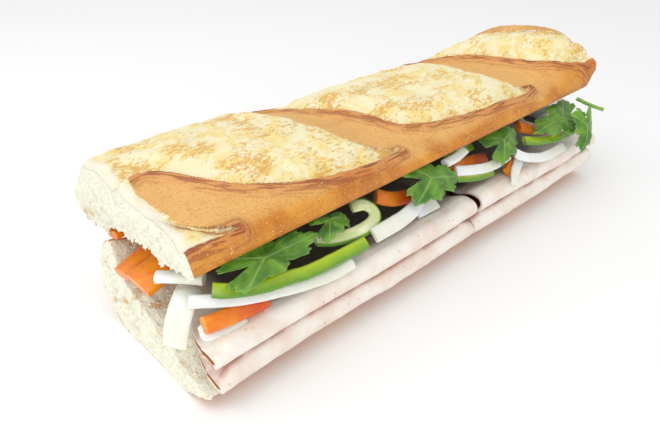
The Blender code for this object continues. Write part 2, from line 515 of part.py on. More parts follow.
PEPPERS = {
    "pepper_1": dict(path=[(-0.1206, -0.0268, 0.0410), (-0.1161, -0.0295, 0.0398), (-0.1061, -0.0320, 0.0377),
                           (-0.0977, -0.0328, 0.0365), (-0.0874, -0.0332, 0.0346), (-0.0761, -0.0332, 0.0340),
                           (-0.0677, -0.0330, 0.0336), (-0.0605, -0.0325, 0.0330)],
                     width=0.0048, thick=0.0026, roll=(-50, -50), ends=(0.6, 0.15), taper=(0.08, 0.3)),
    "pepper_2": dict(path=[(-0.0558, -0.0203, 0.0411), (-0.0502, -0.0214, 0.0402), (-0.0478, -0.0243, 0.0379),
                           (-0.0501, -0.0270, 0.0358), (-0.0562, -0.0279, 0.0350), (-0.0639, -0.0275, 0.0353),
                           (-0.0710, -0.0263, 0.0363), (-0.0769, -0.0242, 0.0379)],
                     width=0.0052, thick=0.0018, roll=(90, 90), ends=(0.5, 0.4), across=(0.0, -0.62, 0.78)),
    "pepper_3": dict(path=[(0.0020, -0.0190, 0.0415), (0.0110, -0.0200, 0.0412), (0.0200, -0.0190, 0.0410)],
                     width=0.0042, thick=0.0026, roll=(-30, -30)),
    "pepper_4": dict(path=[(0.0012, -0.0262, 0.0347), (0.0121, -0.0285, 0.0322), (0.0238, -0.0295, 0.0309)],
                     width=0.0040, thick=0.0020, roll=(-50, -50), ends=(0.4, 0.3)),
    "pepper_5": dict(path=[(0.0497, -0.0285, 0.0376), (0.0601, -0.0312, 0.0353), (0.0734, -0.0325, 0.0332),
                           (0.0890, -0.0325, 0.0322)],
                     width=0.0042, thick=0.0022, roll=(-50, -50), ends=(0.6, 0.3)),
    "pepper_6": dict(path=[(0.0680, 0.0285, 0.0374), (0.0900, 0.0300, 0.0370), (0.1145, 0.0265, 0.0374)],
                     width=0.0056, thick=0.0034),
}

# Where the heart of each leaf lies, its length and width, and how its tip and its sides are turned, in degrees

LEAVES = {
    "herb_leaf_1": dict(heart=(-0.1022, -0.0290, 0.0446), length=0.042, width=0.0142, heading=0, tilt=0, lean=22,
                        droop=0.001),
    "herb_leaf_2": dict(heart=(-0.0712, -0.0258, 0.0443), length=0.019, width=0.0125, heading=0, tilt=5, lean=12),
    "herb_leaf_3": dict(heart=(-0.0218, -0.0302, 0.0443), length=0.032, width=0.0185, heading=-12, tilt=8, lean=40),
    "herb_leaf_4": dict(heart=(0.0318, -0.0283, 0.0436), length=0.035, width=0.0165, heading=10, tilt=0, lean=32),
    "herb_leaf_5": dict(heart=(0.0790, -0.0314, 0.0420), length=0.046, width=0.0185, heading=180, tilt=1, lean=-30,
                        droop=0.001),
    "herb_leaf_6": dict(heart=(0.0826, -0.0424, 0.0399), length=0.024, width=0.0150, heading=-105, tilt=72, lean=0),
    "herb_leaf_7": dict(heart=(0.0150, 0.0422, 0.0345), length=0.024, width=0.018, heading=80, tilt=25, lean=0),
}

STEMS = {
    "herb_stem": dict(path=[(0.0985, -0.0275, 0.0455), (0.0995, -0.0352, 0.0438), (0.1010, -0.0410, 0.0428)],
                      width=0.0018, thick=0.0016, ends=(0.7, 0.7)),
}


def build():
    for old in list(bpy.data.objects):
        bpy.data.objects.remove(old, do_unlink=True)
    paint = {name: make_material(name) for name in COLOURS}
    crust = paint["crust"]
    loaf_half("bread_top", TOP_NEAR, TOP_FAR, TOP_STATIONS, TOP_ACROSS, top_crust, top_crumb, 0.0, crust)
    loaf_half("bread_bottom", LOW_NEAR, LOW_FAR, LOW_STATIONS, LOW_ACROSS, low_crumb, low_crust, NEAR_LEAN, crust)
    folded_slice("meat_near_lower", 0, -0.1265, 0.0050, 0.0, 0.70, paint["meat"])
    folded_slice("meat_near_upper", 1, -0.1268, 0.0058, 1.1, 0.70, paint["meat"])
    folded_slice("meat_far_lower", 0, 0.0063, 0.1140, 2.0, 0.22, paint["meat"])
    folded_slice("meat_far_upper", 1, 0.0100, 0.1125, 0.6, 0.22, paint["meat"])
    for kind, strips in (("carrot", CARROTS), ("radish", RADISHES), ("pepper", PEPPERS), ("herb", STEMS)):
        for name, shape in strips.items():
            strip(name, paint[kind], **shape)
    for name, shape in LEAVES.items():
        leaf(name, paint["herb"], **shape)


build()
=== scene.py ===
import bpy
import math
import numpy as np
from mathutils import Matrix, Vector


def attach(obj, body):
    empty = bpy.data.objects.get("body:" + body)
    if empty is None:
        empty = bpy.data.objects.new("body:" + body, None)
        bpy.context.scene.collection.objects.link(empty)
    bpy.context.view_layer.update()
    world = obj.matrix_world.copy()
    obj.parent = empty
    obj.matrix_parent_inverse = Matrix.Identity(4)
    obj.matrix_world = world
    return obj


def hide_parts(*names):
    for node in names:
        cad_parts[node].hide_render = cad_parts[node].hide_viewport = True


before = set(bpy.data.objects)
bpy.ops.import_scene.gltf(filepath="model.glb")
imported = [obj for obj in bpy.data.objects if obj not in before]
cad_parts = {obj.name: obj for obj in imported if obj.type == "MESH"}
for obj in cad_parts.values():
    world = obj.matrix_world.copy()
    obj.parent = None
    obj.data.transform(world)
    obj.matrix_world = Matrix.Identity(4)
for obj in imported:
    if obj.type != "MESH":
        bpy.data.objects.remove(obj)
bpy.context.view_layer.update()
print("frame loaded:", len(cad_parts), "nodes")


# helpers for numbers

def smooth(low, high, value):
    t = np.clip((np.asarray(value, dtype=float) - low) / (high - low), 0.0, 1.0)
    return t * t * (3.0 - 2.0 * t)


def softNoise(points, size, seed):    # value noise between -1 and 1
    lattice = np.random.default_rng(seed).uniform(-1.0, 1.0, (16, 16, 16))
    cell = np.asarray(points, dtype=float) / size
    base = np.floor(cell).astype(int)
    part = cell - base
    part = part * part * (3.0 - 2.0 * part)
    total = np.zeros(cell.shape[:-1])
    for corner in np.ndindex(2, 2, 2):
        index = (base + corner) % 16
        weight = np.prod(np.where(np.array(corner) == 1, part, 1.0 - part), axis=-1)
        total += weight * lattice[index[..., 0], index[..., 1], index[..., 2]]
    return total


def layeredNoise(points, size, seed, layers=3):
    total = 0.0
    for layer in range(layers):
        total = total + softNoise(points, size / 2 ** layer, seed + layer) / 2 ** layer
    return total


def cellNoise(points, size, seed):    # distance to the nearest and the second nearest scattered point
    jitter = np.random.default_rng(seed).uniform(0.0, 1.0, (16, 16, 16, 3))
    cell = np.asarray(points, dtype=float) / size
    base = np.floor(cell).astype(int)
    near = np.full(cell.shape[:-1], 9.0)
    second = near.copy()
    for step in np.ndindex(3, 3, 3):
        corner = base + np.array(step) - 1
        index = corner % 16
        spot = corner + jitter[index[..., 0], index[..., 1], index[..., 2]]
        gap = np.linalg.norm(cell - spot, axis=-1)
        second = np.minimum(second, np.maximum(near, gap))
        near = np.minimum(near, gap)
    return near, second


def flat(x, y):
    return np.stack([x, y, 0.0 * x], axis=-1)


def smoothPath(points, count=80):    # evenly stepped points of a smooth curve through a few given ones
    path = np.array(points, dtype=float)
    knots = np.vstack([2.0 * path[0] - path[1], path, 2.0 * path[-1] - path[-2]])
    dense = []
    for i in range(1, len(knots) - 2):
        p0, p1, p2, p3 = knots[i - 1:i + 3]
        for u in np.linspace(0.0, 1.0, 20, endpoint=False):
            part = 2.0 * p1 + (p2 - p0) * u + (2.0 * p0 - 5.0 * p1 + 4.0 * p2 - p3) * u ** 2
            dense.append(0.5 * (part + (3.0 * p1 - p0 - 3.0 * p2 + p3) * u ** 3))
    dense = np.array(dense + [path[-1]])
    length = np.concatenate([[0.0], np.cumsum(np.linalg.norm(np.diff(dense, axis=0), axis=1))])
    spots = np.linspace(0.0, length[-1], count)
    return np.stack([np.interp(spots, length, dense[:, c]) for c in range(path.shape[1])], axis=-1)


def colour(red, green, blue):    # from display values of 0 to 255
    linear = [((c / 255.0 + 0.055) / 1.055) ** 2.4 for c in (red, green, blue)]
    return (*linear, 1.0)


# helpers for node trees, used for materials, shader groups and geometry nodes alike

def add(tree, kind, settings={}, feeds={}):
    made = tree.nodes.new(kind)
    for name, value in settings.items():
        setattr(made, name, value)
    for name, value in feeds.items():
        if isinstance(value, bpy.types.NodeSocket):
            tree.links.new(value, made.inputs[name])
        else:
            made.inputs[name].default_value = value
    return made


def calc(tree, operation, first, second=0.0, third=0.0):
    feeds = {0: first, 1: second, 2: third}
    return add(tree, "ShaderNodeMath", {"operation": operation}, feeds).outputs[0]


def times(tree, first, second):
    return calc(tree, "MULTIPLY", first, second)


def plus(tree, first, second):
    return calc(tree, "ADD", first, second)


def minus(tree, first, second):
    return calc(tree, "SUBTRACT", first, second)


def scaled(tree, value, factor, offset):
    return calc(tree, "MULTIPLY_ADD", value, factor, offset)


def combine(tree, x, y, z=0.0):
    return add(tree, "ShaderNodeCombineXYZ", {}, {0: x, 1: y, 2: z}).outputs[0]


def separate(tree, vector):
    return add(tree, "ShaderNodeSeparateXYZ", {}, {0: vector}).outputs


def spread(tree, value, low, high):    # a value of 0 to 1 carried to low to high
    feeds = {"Value": value, "To Min": low, "To Max": high}
    return add(tree, "ShaderNodeMapRange", {}, feeds).outputs["Result"]


def between(tree, share, first, second):
    return add(tree, "ShaderNodeMix", {}, {0: share, 2: first, 3: second}).outputs[0]


def fade(tree, value, low, high):    # 0 below low and 1 above high, smooth between
    settings = {"interpolation_type": "SMOOTHSTEP"}
    feeds = {"Value": value, "From Min": low, "From Max": high}
    return add(tree, "ShaderNodeMapRange", settings, feeds).outputs["Result"]


def mix(tree, share, first, second):
    return add(tree, "ShaderNodeMix", {"data_type": "RGBA"}, {0: share, 6: first, 7: second}).outputs[2]


def noise(tree, position, scale, detail=2.0, distortion=0.0, roughness=0.5):
    feeds = {"Vector": position, "Scale": scale, "Detail": detail, "Distortion": distortion,
             "Roughness": roughness}
    return add(tree, "ShaderNodeTexNoise", {}, feeds).outputs["Fac"]


def cells(tree, position, scale):
    return add(tree, "ShaderNodeTexVoronoi", {}, {"Vector": position, "Scale": scale})


def stored(tree, name):
    return add(tree, "ShaderNodeAttribute", {"attribute_name": name}).outputs["Fac"]


def bump(tree, height, distance, strength):
    feeds = {"Height": height, "Distance": distance, "Strength": strength}
    return add(tree, "ShaderNodeBump", {}, feeds).outputs["Normal"]


def vectorCalc(tree, operation, first, second=(0.0, 0.0, 0.0)):
    made = add(tree, "ShaderNodeVectorMath", {"operation": operation}, {0: first, 1: second})
    return made.outputs["Value" if operation in ("LENGTH", "DOT_PRODUCT") else "Vector"]


def shaderGroup(name, inputs, outputs):
    group = bpy.data.node_groups.new(name, "ShaderNodeTree")
    for title, kind, value in inputs:
        socket = group.interface.new_socket(title, in_out="INPUT", socket_type=kind)
        if value is not None:
            socket.default_value = value
    for title, kind in outputs:
        group.interface.new_socket(title, in_out="OUTPUT", socket_type=kind)
    return group, group.nodes.new("NodeGroupInput").outputs, group.nodes.new("NodeGroupOutput").inputs


def useGroup(tree, group, feeds):
    return add(tree, "ShaderNodeGroup", {"node_tree": group}, feeds).outputs


def newMaterial(name, roughness, coat=0.0, coatRoughness=0.2, glow=0.0, glowRadius=(0.002, 0.001, 0.0005)):
    material = bpy.data.materials.new(name)
    material.use_nodes = True
    shader = material.node_tree.nodes["Principled BSDF"]
    shader.inputs["Roughness"].default_value = roughness
    shader.inputs["Coat Weight"].default_value = coat
    shader.inputs["Coat Roughness"].default_value = coatRoughness
    shader.inputs["Subsurface Weight"].default_value = glow
    shader.inputs["Subsurface Radius"].default_value = glowRadius
    shader.inputs["Subsurface Scale"].default_value = 1.0
    position = add(material.node_tree, "ShaderNodeTexCoord").outputs["Object"]
    return material, material.node_tree, shader, position


def finishMaterial(tree, shader, baseColour, roughness=None, normal=None):
    tree.links.new(baseColour, shader.inputs["Base Color"])
    if roughness is not None:
        tree.links.new(roughness, shader.inputs["Roughness"])
    if normal is not None:
        tree.links.new(normal, shader.inputs["Normal"])


# shader groups that several materials share

def buildBlotches():    # soft irregular patches with a finer grain inside them
    inputs = [("Position", "NodeSocketVector", None), ("Scale", "NodeSocketFloat", 150.0),
              ("Cover", "NodeSocketFloat", 0.5), ("Edge", "NodeSocketFloat", 0.08)]
    outputs = [("Mask", "NodeSocketFloat"), ("Grain", "NodeSocketFloat")]
    group, given, out = shaderGroup("blotches", inputs, outputs)
    coarse = noise(group, given["Position"], given["Scale"], 5.0, 0.6, 0.62)
    level = minus(group, 1.0, given["Cover"])
    low = minus(group, level, given["Edge"])
    high = plus(group, level, given["Edge"])
    mask = fade(group, coarse, low, high)
    grain = noise(group, given["Position"], times(group, given["Scale"], 6.0), 3.0, 0.0, 0.6)
    group.links.new(mask, out["Mask"])
    group.links.new(grain, out["Grain"])
    return group


def buildPores():    # round open cells of bread crumb in two sizes
    inputs = [("Position", "NodeSocketVector", None), ("Scale", "NodeSocketFloat", 400.0)]
    outputs = [("Mask", "NodeSocketFloat"), ("Height", "NodeSocketFloat")]
    group, given, out = shaderGroup("pores", inputs, outputs)
    place, sway = given["Position"], 0.0035
    warp = add(group, "ShaderNodeTexNoise", {}, {"Vector": place, "Scale": 220.0}).outputs["Color"]
    bent = vectorCalc(group, "ADD", place, vectorCalc(group, "MULTIPLY", warp, (sway, sway, sway)))
    large = cells(group, bent, given["Scale"]).outputs["Distance"]
    small = cells(group, bent, times(group, given["Scale"], 2.7)).outputs["Distance"]
    patch = fade(group, noise(group, place, 130.0, 2.0), 0.42, 0.62)
    largeHole = times(group, fade(group, large, 0.42, 0.16), patch)
    smallHole = times(group, fade(group, small, 0.45, 0.15), 0.5)
    mask = calc(group, "MAXIMUM", largeHole, smallHole)
    group.links.new(mask, out["Mask"])
    group.links.new(minus(group, 1.0, mask), out["Height"])
    return group


def buildFibres():    # fine threads that run along a cut strip, from its own along and side values
    inputs = [("Along", "NodeSocketFloat", 0.0), ("Side", "NodeSocketFloat", 0.0),
              ("Position", "NodeSocketVector", None)]
    outputs = [("Threads", "NodeSocketFloat"), ("Cloud", "NodeSocketFloat")]
    group, given, out = shaderGroup("fibres", inputs, outputs)
    spot = combine(group, times(group, given["Along"], 3.0), times(group, given["Side"], 9.0))
    group.links.new(noise(group, spot, 1.6, 4.0, 0.3), out["Threads"])
    group.links.new(noise(group, given["Position"], 210.0, 3.0, 0.4), out["Cloud"])
    return group


def buildInsideShade():    # darkens what lies deep between the bread halves, with a ragged border
    inputs = [("Position", "NodeSocketVector", None), ("Colour", "NodeSocketColor", None)]
    group, given, out = shaderGroup("insideShade", inputs, [("Colour", "NodeSocketColor")])
    place = separate(group, given["Position"])
    ragged = scaled(group, noise(group, given["Position"], 130.0, 3.0), 0.010, -0.005)
    depth = plus(group, place["Y"], ragged)
    mask = times(group, fade(group, depth, -0.0235, -0.0165), fade(group, depth, 0.030, 0.022))
    borders = (("X", -0.116, -0.104), ("X", 0.104, 0.094), ("Z", 0.012, 0.020), ("Z", 0.0535, 0.0505))
    for axis, low, high in borders:
        mask = times(group, mask, fade(group, place[axis], low, high))
    dark = mix(group, times(group, mask, 0.88), given["Colour"], colour(34, 22, 12))
    group.links.new(dark, out["Colour"])
    return group


blotches = buildBlotches()
pores = buildPores()
fibres = buildFibres()
insideShade = buildInsideShade()

# bread materials

breadColours = {
    # the paler flank colour is painted light, for crust that faces up
    "flank": colour(196, 116, 22), "flankGold": colour(222, 150, 44), "flankPale": colour(228, 176, 100),
    "flankDeep": colour(158, 76, 14), "wash": colour(196, 112, 62), "lip": colour(146, 66, 32),
    "speck": colour(248, 220, 158), "slash": colour(252, 242, 200), "slashCream": colour(250, 228, 152),
    "scorch": colour(224, 166, 66), "scorchDeep": colour(172, 94, 30), "rim": colour(250, 243, 224),
    # the darker crumb colour is painted shade in the crumb's pores
    "crumb": colour(241, 240, 220), "crumbShade": colour(212, 206, 176), "toast": colour(210, 162, 84),
}


def lineNoise(tree, place, gap, along, across, scale, distortion):    # noise drawn out along a slash's edge
    x, y = times(tree, place["X"], along), times(tree, place["Y"], along)
    spot = combine(tree, x, times(tree, gap, across), y)
    return noise(tree, spot, scale, 3.0, distortion)


def breadMaterial(name, look):
    glowRadius = (0.0012, 0.0008, 0.0005)
    material, tree, shader, position = newMaterial(name, 0.55, glow=0.06, glowRadius=glowRadius)
    keys = ("slashDepth", "lipGap", "rearGap", "crumbShare", "upward")
    slash, lip, rear, crumb, upward = (stored(tree, key) for key in keys)
    place = separate(tree, position)
    stretched = vectorCalc(tree, "MULTIPLY", position, (0.55, 1.3, 1.0))

    # browned flank: golden orange where it stands upright, and painted light makes it paler where it faces
    # up
    broad = noise(tree, position, 60.0, 4.0, 0.4)
    fine = noise(tree, position, 1300.0, 2.0)
    flank = mix(tree, fade(tree, broad, 0.34, 0.66), look["flank"], look["flankGold"])
    turned = plus(tree, upward, scaled(tree, broad, 0.4, -0.2))
    flank = mix(tree, fade(tree, turned, 0.74, 1.02), flank, look["flankPale"])
    flank = mix(tree, times(tree, fade(tree, fine, 0.50, 0.72), 0.40), flank, look["flankDeep"])
    specks = cells(tree, position, 1500.0).outputs
    lucky = fade(tree, separate(tree, specks["Color"])["X"], 0.62, 0.70)
    speckMask = times(tree, fade(tree, specks["Distance"], 0.42, 0.20), lucky)
    flank = mix(tree, times(tree, speckMask, 0.40), flank, look["speck"])

    # reddish lips along the front of each slash, streaked along their length
    streak = lineNoise(tree, place, lip, 60.0, 0.75, 1.7, 0.4)
    ahead = fade(tree, lip, 0.8, 0.2)
    wash = times(tree, fade(tree, lip, -6.0, -0.5), ahead)
    flank = mix(tree, times(tree, wash, 0.50), flank, look["wash"])
    thin = times(tree, fade(tree, lip, -6.5, -0.4), fade(tree, streak, 0.48, 0.57))
    thin = times(tree, thin, ahead)
    flank = mix(tree, times(tree, thin, 0.85), flank, look["lip"])

    # pale open slashes, freckled and scorched, most of all along their rear edges
    ragged = plus(tree, slash, scaled(tree, noise(tree, position, 420.0, 3.0), 2.0, -1.0))
    pale = fade(tree, ragged, -0.35, 0.45)
    creamShare = fade(tree, noise(tree, position, 150.0, 4.0, 0.8), 0.40, 0.62)
    cream = mix(tree, creamShare, look["slash"], look["slashCream"])
    within = fade(tree, rear, 0.0, 0.3)
    rearNear = times(tree, fade(tree, rear, 9.0, 1.0), within)
    cluster = scaled(tree, noise(tree, position, 75.0, 2.0), 0.55, 0.12)
    cover = scaled(tree, rearNear, 0.08, cluster)
    feeds = {"Position": stretched, "Scale": 420.0, "Cover": cover, "Edge": 0.05}
    patches = useGroup(tree, blotches, feeds)
    small = useGroup(tree, blotches, {**feeds, "Scale": 850.0})
    scorch = calc(tree, "MAXIMUM", times(tree, patches["Mask"], 0.8), small["Mask"])
    opened = mix(tree, times(tree, scorch, 0.85), cream, look["scorch"])
    dash = fade(tree, lineNoise(tree, place, rear, 110.0, 0.8, 1.6, 0.3), 0.46, 0.58)
    dash = times(tree, dash, times(tree, fade(tree, rear, 3.2, 1.0), within))
    opened = mix(tree, times(tree, dash, 0.85), opened, look["scorchDeep"])
    cutEdge = times(tree, fade(tree, place["X"], -0.1222, -0.1256), 0.9)
    opened = mix(tree, cutEdge, opened, look["rim"])
    crust = mix(tree, pale, flank, opened)

    # cream crumb with its open pores painted darker as shade, toasted in places on the lower half
    holes = useGroup(tree, pores, {"Position": position, "Scale": 330.0})
    inside = mix(tree, times(tree, holes["Mask"], 0.40), look["crumb"], look["crumbShade"])
    toast = fade(tree, noise(tree, position, 130.0, 4.0, 0.6), 0.56, 0.68)
    toast = times(tree, toast, fade(tree, place["Z"], 0.046, 0.040))
    inside = mix(tree, times(tree, toast, 0.7), inside, look["toast"])
    crumbMask = fade(tree, plus(tree, crumb, scaled(tree, fine, 0.3, -0.15)), 0.35, 0.60)
    base = mix(tree, crumbMask, crust, inside)
    base = useGroup(tree, insideShade, {"Position": position, "Colour": base})["Colour"]

    relief = times(tree, patches["Grain"], scaled(tree, pale, 0.8, 0.3))
    relief = minus(tree, relief, times(tree, plus(tree, thin, dash), 0.6))
    relief = plus(tree, relief, times(tree, speckMask, 0.35))
    relief = plus(tree, relief, times(tree, holes["Height"], crumbMask))
    rough = spread(tree, crumbMask, 0.48, 0.85)
    finishMaterial(tree, shader, base, rough, bump(tree, relief, 0.0006, 0.7))
    return material


def bitMaterial(name, first, second):    # crumbs and blisters
    material, tree, shader, position = newMaterial(name, 0.7, glow=0.06)
    share = fade(tree, noise(tree, position, 500.0), 0.35, 0.65)
    finishMaterial(tree, shader, mix(tree, share, first, second))
    return material


# mesh helpers

def makePiece(name, vertices, faces, material, attributes={}):
    mesh = bpy.data.meshes.new(name)
    mesh.from_pydata(np.asarray(vertices, dtype=float).tolist(), [], faces)
    for key, values in attributes.items():
        layer = mesh.attributes.new(key, "FLOAT", "POINT")
        layer.data.foreach_set("value", np.asarray(values, dtype=np.float32).ravel())
    mesh.shade_smooth()
    mesh.materials.append(material)
    mesh.update()
    piece = bpy.data.objects.new(name, mesh)
    bpy.context.scene.collection.objects.link(piece)
    return piece


def makeOutward(piece):    # turns the faces outwards if the shape came out inside out
    mesh = piece.data
    mesh.calc_loop_triangles()
    points = np.array([v.co for v in mesh.vertices])
    corners = points[np.array([t.vertices for t in mesh.loop_triangles])]
    volume = np.einsum("ij,ij->i", corners[:, 0], np.cross(corners[:, 1], corners[:, 2])).sum()
    if volume < 0.0:
        mesh.flip_normals()


def standFor(piece, node):
    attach(piece, "root")
    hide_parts(node)


def gridQuads(index):
    corners = [index[:-1, :-1], index[1:, :-1], index[1:, 1:], index[:-1, 1:]]
    return np.stack(corners, axis=-1).reshape(-1, 4)


def pillow(name, high, low, caps, material, values):
    # high and low are grids that share their long edges, and each cap is a grid between their end lines
    stations, row = high.shape[:2]
    vertices = [high.reshape(-1, 3), low[:, 1:-1].reshape(-1, 3)]
    highIndex = np.arange(stations * row).reshape(stations, row)
    lowIndex = highIndex.copy()
    lowIndex[:, 1:-1] = stations * row + np.arange(stations * (row - 2)).reshape(stations, row - 2)
    faces = gridQuads(highIndex).tolist() + gridQuads(lowIndex)[:, [0, 3, 2, 1]].tolist()
    count = stations * row + stations * (row - 2)
    for end, cap, flip in ((0, caps[0], False), (stations - 1, caps[1], True)):
        rows = cap.shape[0]
        index = np.zeros((rows, row), dtype=int)
        index[0], index[-1] = highIndex[end], lowIndex[end]
        index[1:-1, 0], index[1:-1, -1] = highIndex[end, 0], highIndex[end, -1]
        index[1:-1, 1:-1] = count + np.arange((rows - 2) * (row - 2)).reshape(rows - 2, row - 2)
        count += (rows - 2) * (row - 2)
        vertices.append(cap[1:-1, 1:-1].reshape(-1, 3))
        for i in range(rows - 1):
            for j in range(row - 1):
                ring = [index[i, j], index[i, j + 1], index[i + 1, j + 1], index[i + 1, j]]
                ring = [int(v) for v in dict.fromkeys(ring)]
                faces.append(ring[::-1] if flip else ring)
    attributes = {}
    for key, (highValue, lowValue, capValue) in values.items():
        parts = [highValue.ravel(), np.broadcast_to(lowValue, high.shape[:2])[:, 1:-1].ravel()]
        parts += [np.full(cap[1:-1, 1:-1].shape[:2], capValue).ravel() for cap in caps]
        attributes[key] = np.concatenate(parts)
    faces = [face for face in (list(dict.fromkeys(f)) for f in faces) if len(face) > 2]
    return makePiece(name, np.concatenate(vertices), faces, material, attributes)


def capGrid(high, low, rows, wander, pit, tooth, seed, outward):    # a cut face between two end lines
    even = np.linspace(0.0, 1.0, rows)[:, None, None]
    share = 0.5 * (smooth(0.0, 1.0, even) + even)
    cap = high[None] * (1.0 - share) + low[None] * share
    across = np.linspace(0.0, 1.0, high.shape[0])[None, :]
    hold = smooth(0.0, 0.10, share[..., 0]) * smooth(0.0, 0.10, 1.0 - share[..., 0])
    hold = hold * smooth(0.0, 0.05, across) * smooth(0.0, 0.05, 1.0 - across)
    near = cellNoise(cap * np.array([0.3, 1.0, 1.0]), pit, seed)[0]
    depth = wander * layeredNoise(cap, 0.014, seed + 1) - tooth * smooth(0.55, 0.15, near)
    cap[..., 0] += outward * hold * depth
    return cap


# bread

topLoaf = {
    "near": -0.1270, "far": 0.1095, "front": -0.0290, "back": 0.0520,
    "edgeZ": 0.0497, "edgeRise": 0.0018, "edgeFall": 0.09,
    "cornerFrom": 0.102, "cornerRise": 0.0065, "cornerBack": 0.004, "cornerFront": -0.020,
    "crownAt": (-0.127, -0.110, -0.090, -0.070, -0.055, -0.040, -0.020, 0.0,
                0.020, 0.035, 0.050, 0.065, 0.080, 0.095, 0.110),
    "crownZ": (0.0606, 0.0623, 0.0632, 0.0624, 0.0634, 0.0580, 0.0590, 0.0598,
               0.0602, 0.0630, 0.0603, 0.0580, 0.0632, 0.0690, 0.0750),
    "crownBlend": 0.010, "farLean": 0.12, "farLeanFrom": 0.070,
    "farDip": 0.0045, "farDipFrom": 0.080, "farDipAt": -0.020, "farDipWidth": 0.009,
    "flank": 2.4, "shoulder": 0.45,
    "sagDepth": 0.0048, "sagAt": 0.037, "sagWidth": 0.011, "tuck": 0.0006,
    "nearRound": 0.0011, "farRound": 0.0008, "fringe": 0.0026,
    "nearCut": (0.0009, 0.0028, 0.0009), "farCut": (0.0009, 0.0028, 0.0009),    # wander, pore size, depth
    "stations": 380, "across": 110, "capRows": 26,
}
slashes = {
    "rise": 0.0042, "ramp": 0.012, "lipRise": 0.0012, "lipWidth": 0.0035, "lipSetback": 0.0015,
    "earHeight": 0.0013, "valley": 0.0009, "lump": 0.0006, "crack": 0.0006, "torn": 0.0007,
    "grain": 0.00018,
    "rim": 0.0042, "rimWander": 0.0012,
}

# each slash lies between a front lip and a rear edge, given by points from the tip that the two share
slashLines = (
    {"lip": [(-0.1085, -0.0255), (-0.1122, -0.0253), (-0.1166, -0.0248), (-0.1207, -0.0244),
        (-0.1240, -0.0243), (-0.1350, -0.0240), (-0.1500, -0.0230)],
     "rear": [(-0.1085, -0.0255), (-0.1125, -0.0229), (-0.1150, -0.0214), (-0.1177, -0.0192),
        (-0.1201, -0.0170), (-0.1226, -0.0144), (-0.1245, -0.0105), (-0.1262, -0.0060),
        (-0.1350, -0.0020), (-0.1500, 0.0000)]},
    {"lip": [(-0.0320, -0.0222), (-0.0358, -0.0226), (-0.0418, -0.0230), (-0.0505, -0.0236),
        (-0.0603, -0.0233), (-0.0690, -0.0225), (-0.0763, -0.0209), (-0.0829, -0.0187),
        (-0.0890, -0.0164), (-0.0935, -0.0141), (-0.0975, -0.0117), (-0.1022, -0.0075),
        (-0.1060, -0.0023), (-0.1081, 0.0010), (-0.1112, 0.0075), (-0.1144, 0.0125), (-0.1174, 0.0146),
        (-0.1212, 0.0147), (-0.1250, 0.0140), (-0.1310, 0.0180), (-0.1370, 0.0330), (-0.1400, 0.0460)],
     "rear": [(-0.0320, -0.0222), (-0.0353, -0.0175), (-0.0391, -0.0134), (-0.0421, -0.0083),
        (-0.0434, -0.0041), (-0.0446, 0.0000), (-0.0467, 0.0062), (-0.0491, 0.0145), (-0.0518, 0.0210),
        (-0.0538, 0.0277), (-0.0550, 0.0340), (-0.0580, 0.0395), (-0.0650, 0.0445), (-0.0780, 0.0475),
        (-0.1000, 0.0485), (-0.1200, 0.0480), (-0.1400, 0.0460)]},
    {"lip": [(0.0618, -0.0204), (0.0539, -0.0222), (0.0433, -0.0228), (0.0330, -0.0222),
        (0.0229, -0.0214), (0.0150, -0.0200), (0.0055, -0.0187), (-0.0021, -0.0171), (-0.0113, -0.0143),
        (-0.0168, -0.0118), (-0.0200, -0.0080), (-0.0219, -0.0024), (-0.0237, 0.0043),
        (-0.0256, 0.0111), (-0.0290, 0.0192), (-0.0334, 0.0266), (-0.0385, 0.0335), (-0.0440, 0.0394),
        (-0.0510, 0.0440)],
     "rear": [(0.0618, -0.0204), (0.0610, -0.0175), (0.0594, -0.0140), (0.0567, -0.0073),
        (0.0545, -0.0030), (0.0524, 0.0038), (0.0511, 0.0120), (0.0499, 0.0168), (0.0486, 0.0223),
        (0.0462, 0.0270), (0.0425, 0.0305), (0.0370, 0.0350), (0.0300, 0.0405), (0.0200, 0.0455),
        (0.0030, 0.0480), (-0.0200, 0.0480), (-0.0400, 0.0465), (-0.0510, 0.0440)]},
    {"lip": [(0.1250, -0.0300), (0.1150, -0.0290), (0.1059, -0.0266), (0.0945, -0.0221),
        (0.0877, -0.0171), (0.0825, -0.0119), (0.0795, -0.0060), (0.0777, -0.0012), (0.0765, 0.0034),
        (0.0752, 0.0113), (0.0735, 0.0185), (0.0713, 0.0245), (0.0680, 0.0305), (0.0630, 0.0360),
        (0.0560, 0.0420), (0.0500, 0.0455)],
     "rear": [(0.1250, -0.0300), (0.1165, -0.0220), (0.1120, -0.0150), (0.1094, -0.0108),
        (0.1067, -0.0051), (0.1045, 0.0023), (0.1021, 0.0121), (0.1010, 0.0174), (0.0998, 0.0240),
        (0.0965, 0.0330), (0.0850, 0.0430), (0.0700, 0.0470), (0.0580, 0.0470), (0.0500, 0.0455)]},
)


def acrossLoaf(front, back, t):
    return (front + back) / 2.0 + (back - front) / 2.0 * t


def loafGrid(loaf):    # x, across and y of a bread half's points, closer together towards its edges
    even = np.linspace(0.0, 1.0, loaf["stations"])
    line = loaf["near"] + (loaf["far"] - loaf["near"]) * (0.8 * even + 0.2 * smooth(0.0, 1.0, even))
    t = -np.cos(np.pi * np.linspace(0.0, 1.0, loaf["across"] + 1))
    t = 0.75 * t + 0.25 * np.linspace(-1.0, 1.0, loaf["across"] + 1)
    x, t = np.meshgrid(line, t, indexing="ij")
    return x, t, acrossLoaf(loaf["front"], loaf["back"], t)


def distanceTo(line, x, y):
    nearest = np.full(x.shape, 1.0)
    for (ax, ay), (bx, by) in zip(line[:-1], line[1:]):
        dx, dy = bx - ax, by - ay
        share = np.clip(((x - ax) * dx + (y - ay) * dy) / (dx * dx + dy * dy), 0.0, 1.0)
        nearest = np.minimum(nearest, np.hypot(x - ax - share * dx, y - ay - share * dy))
    return nearest


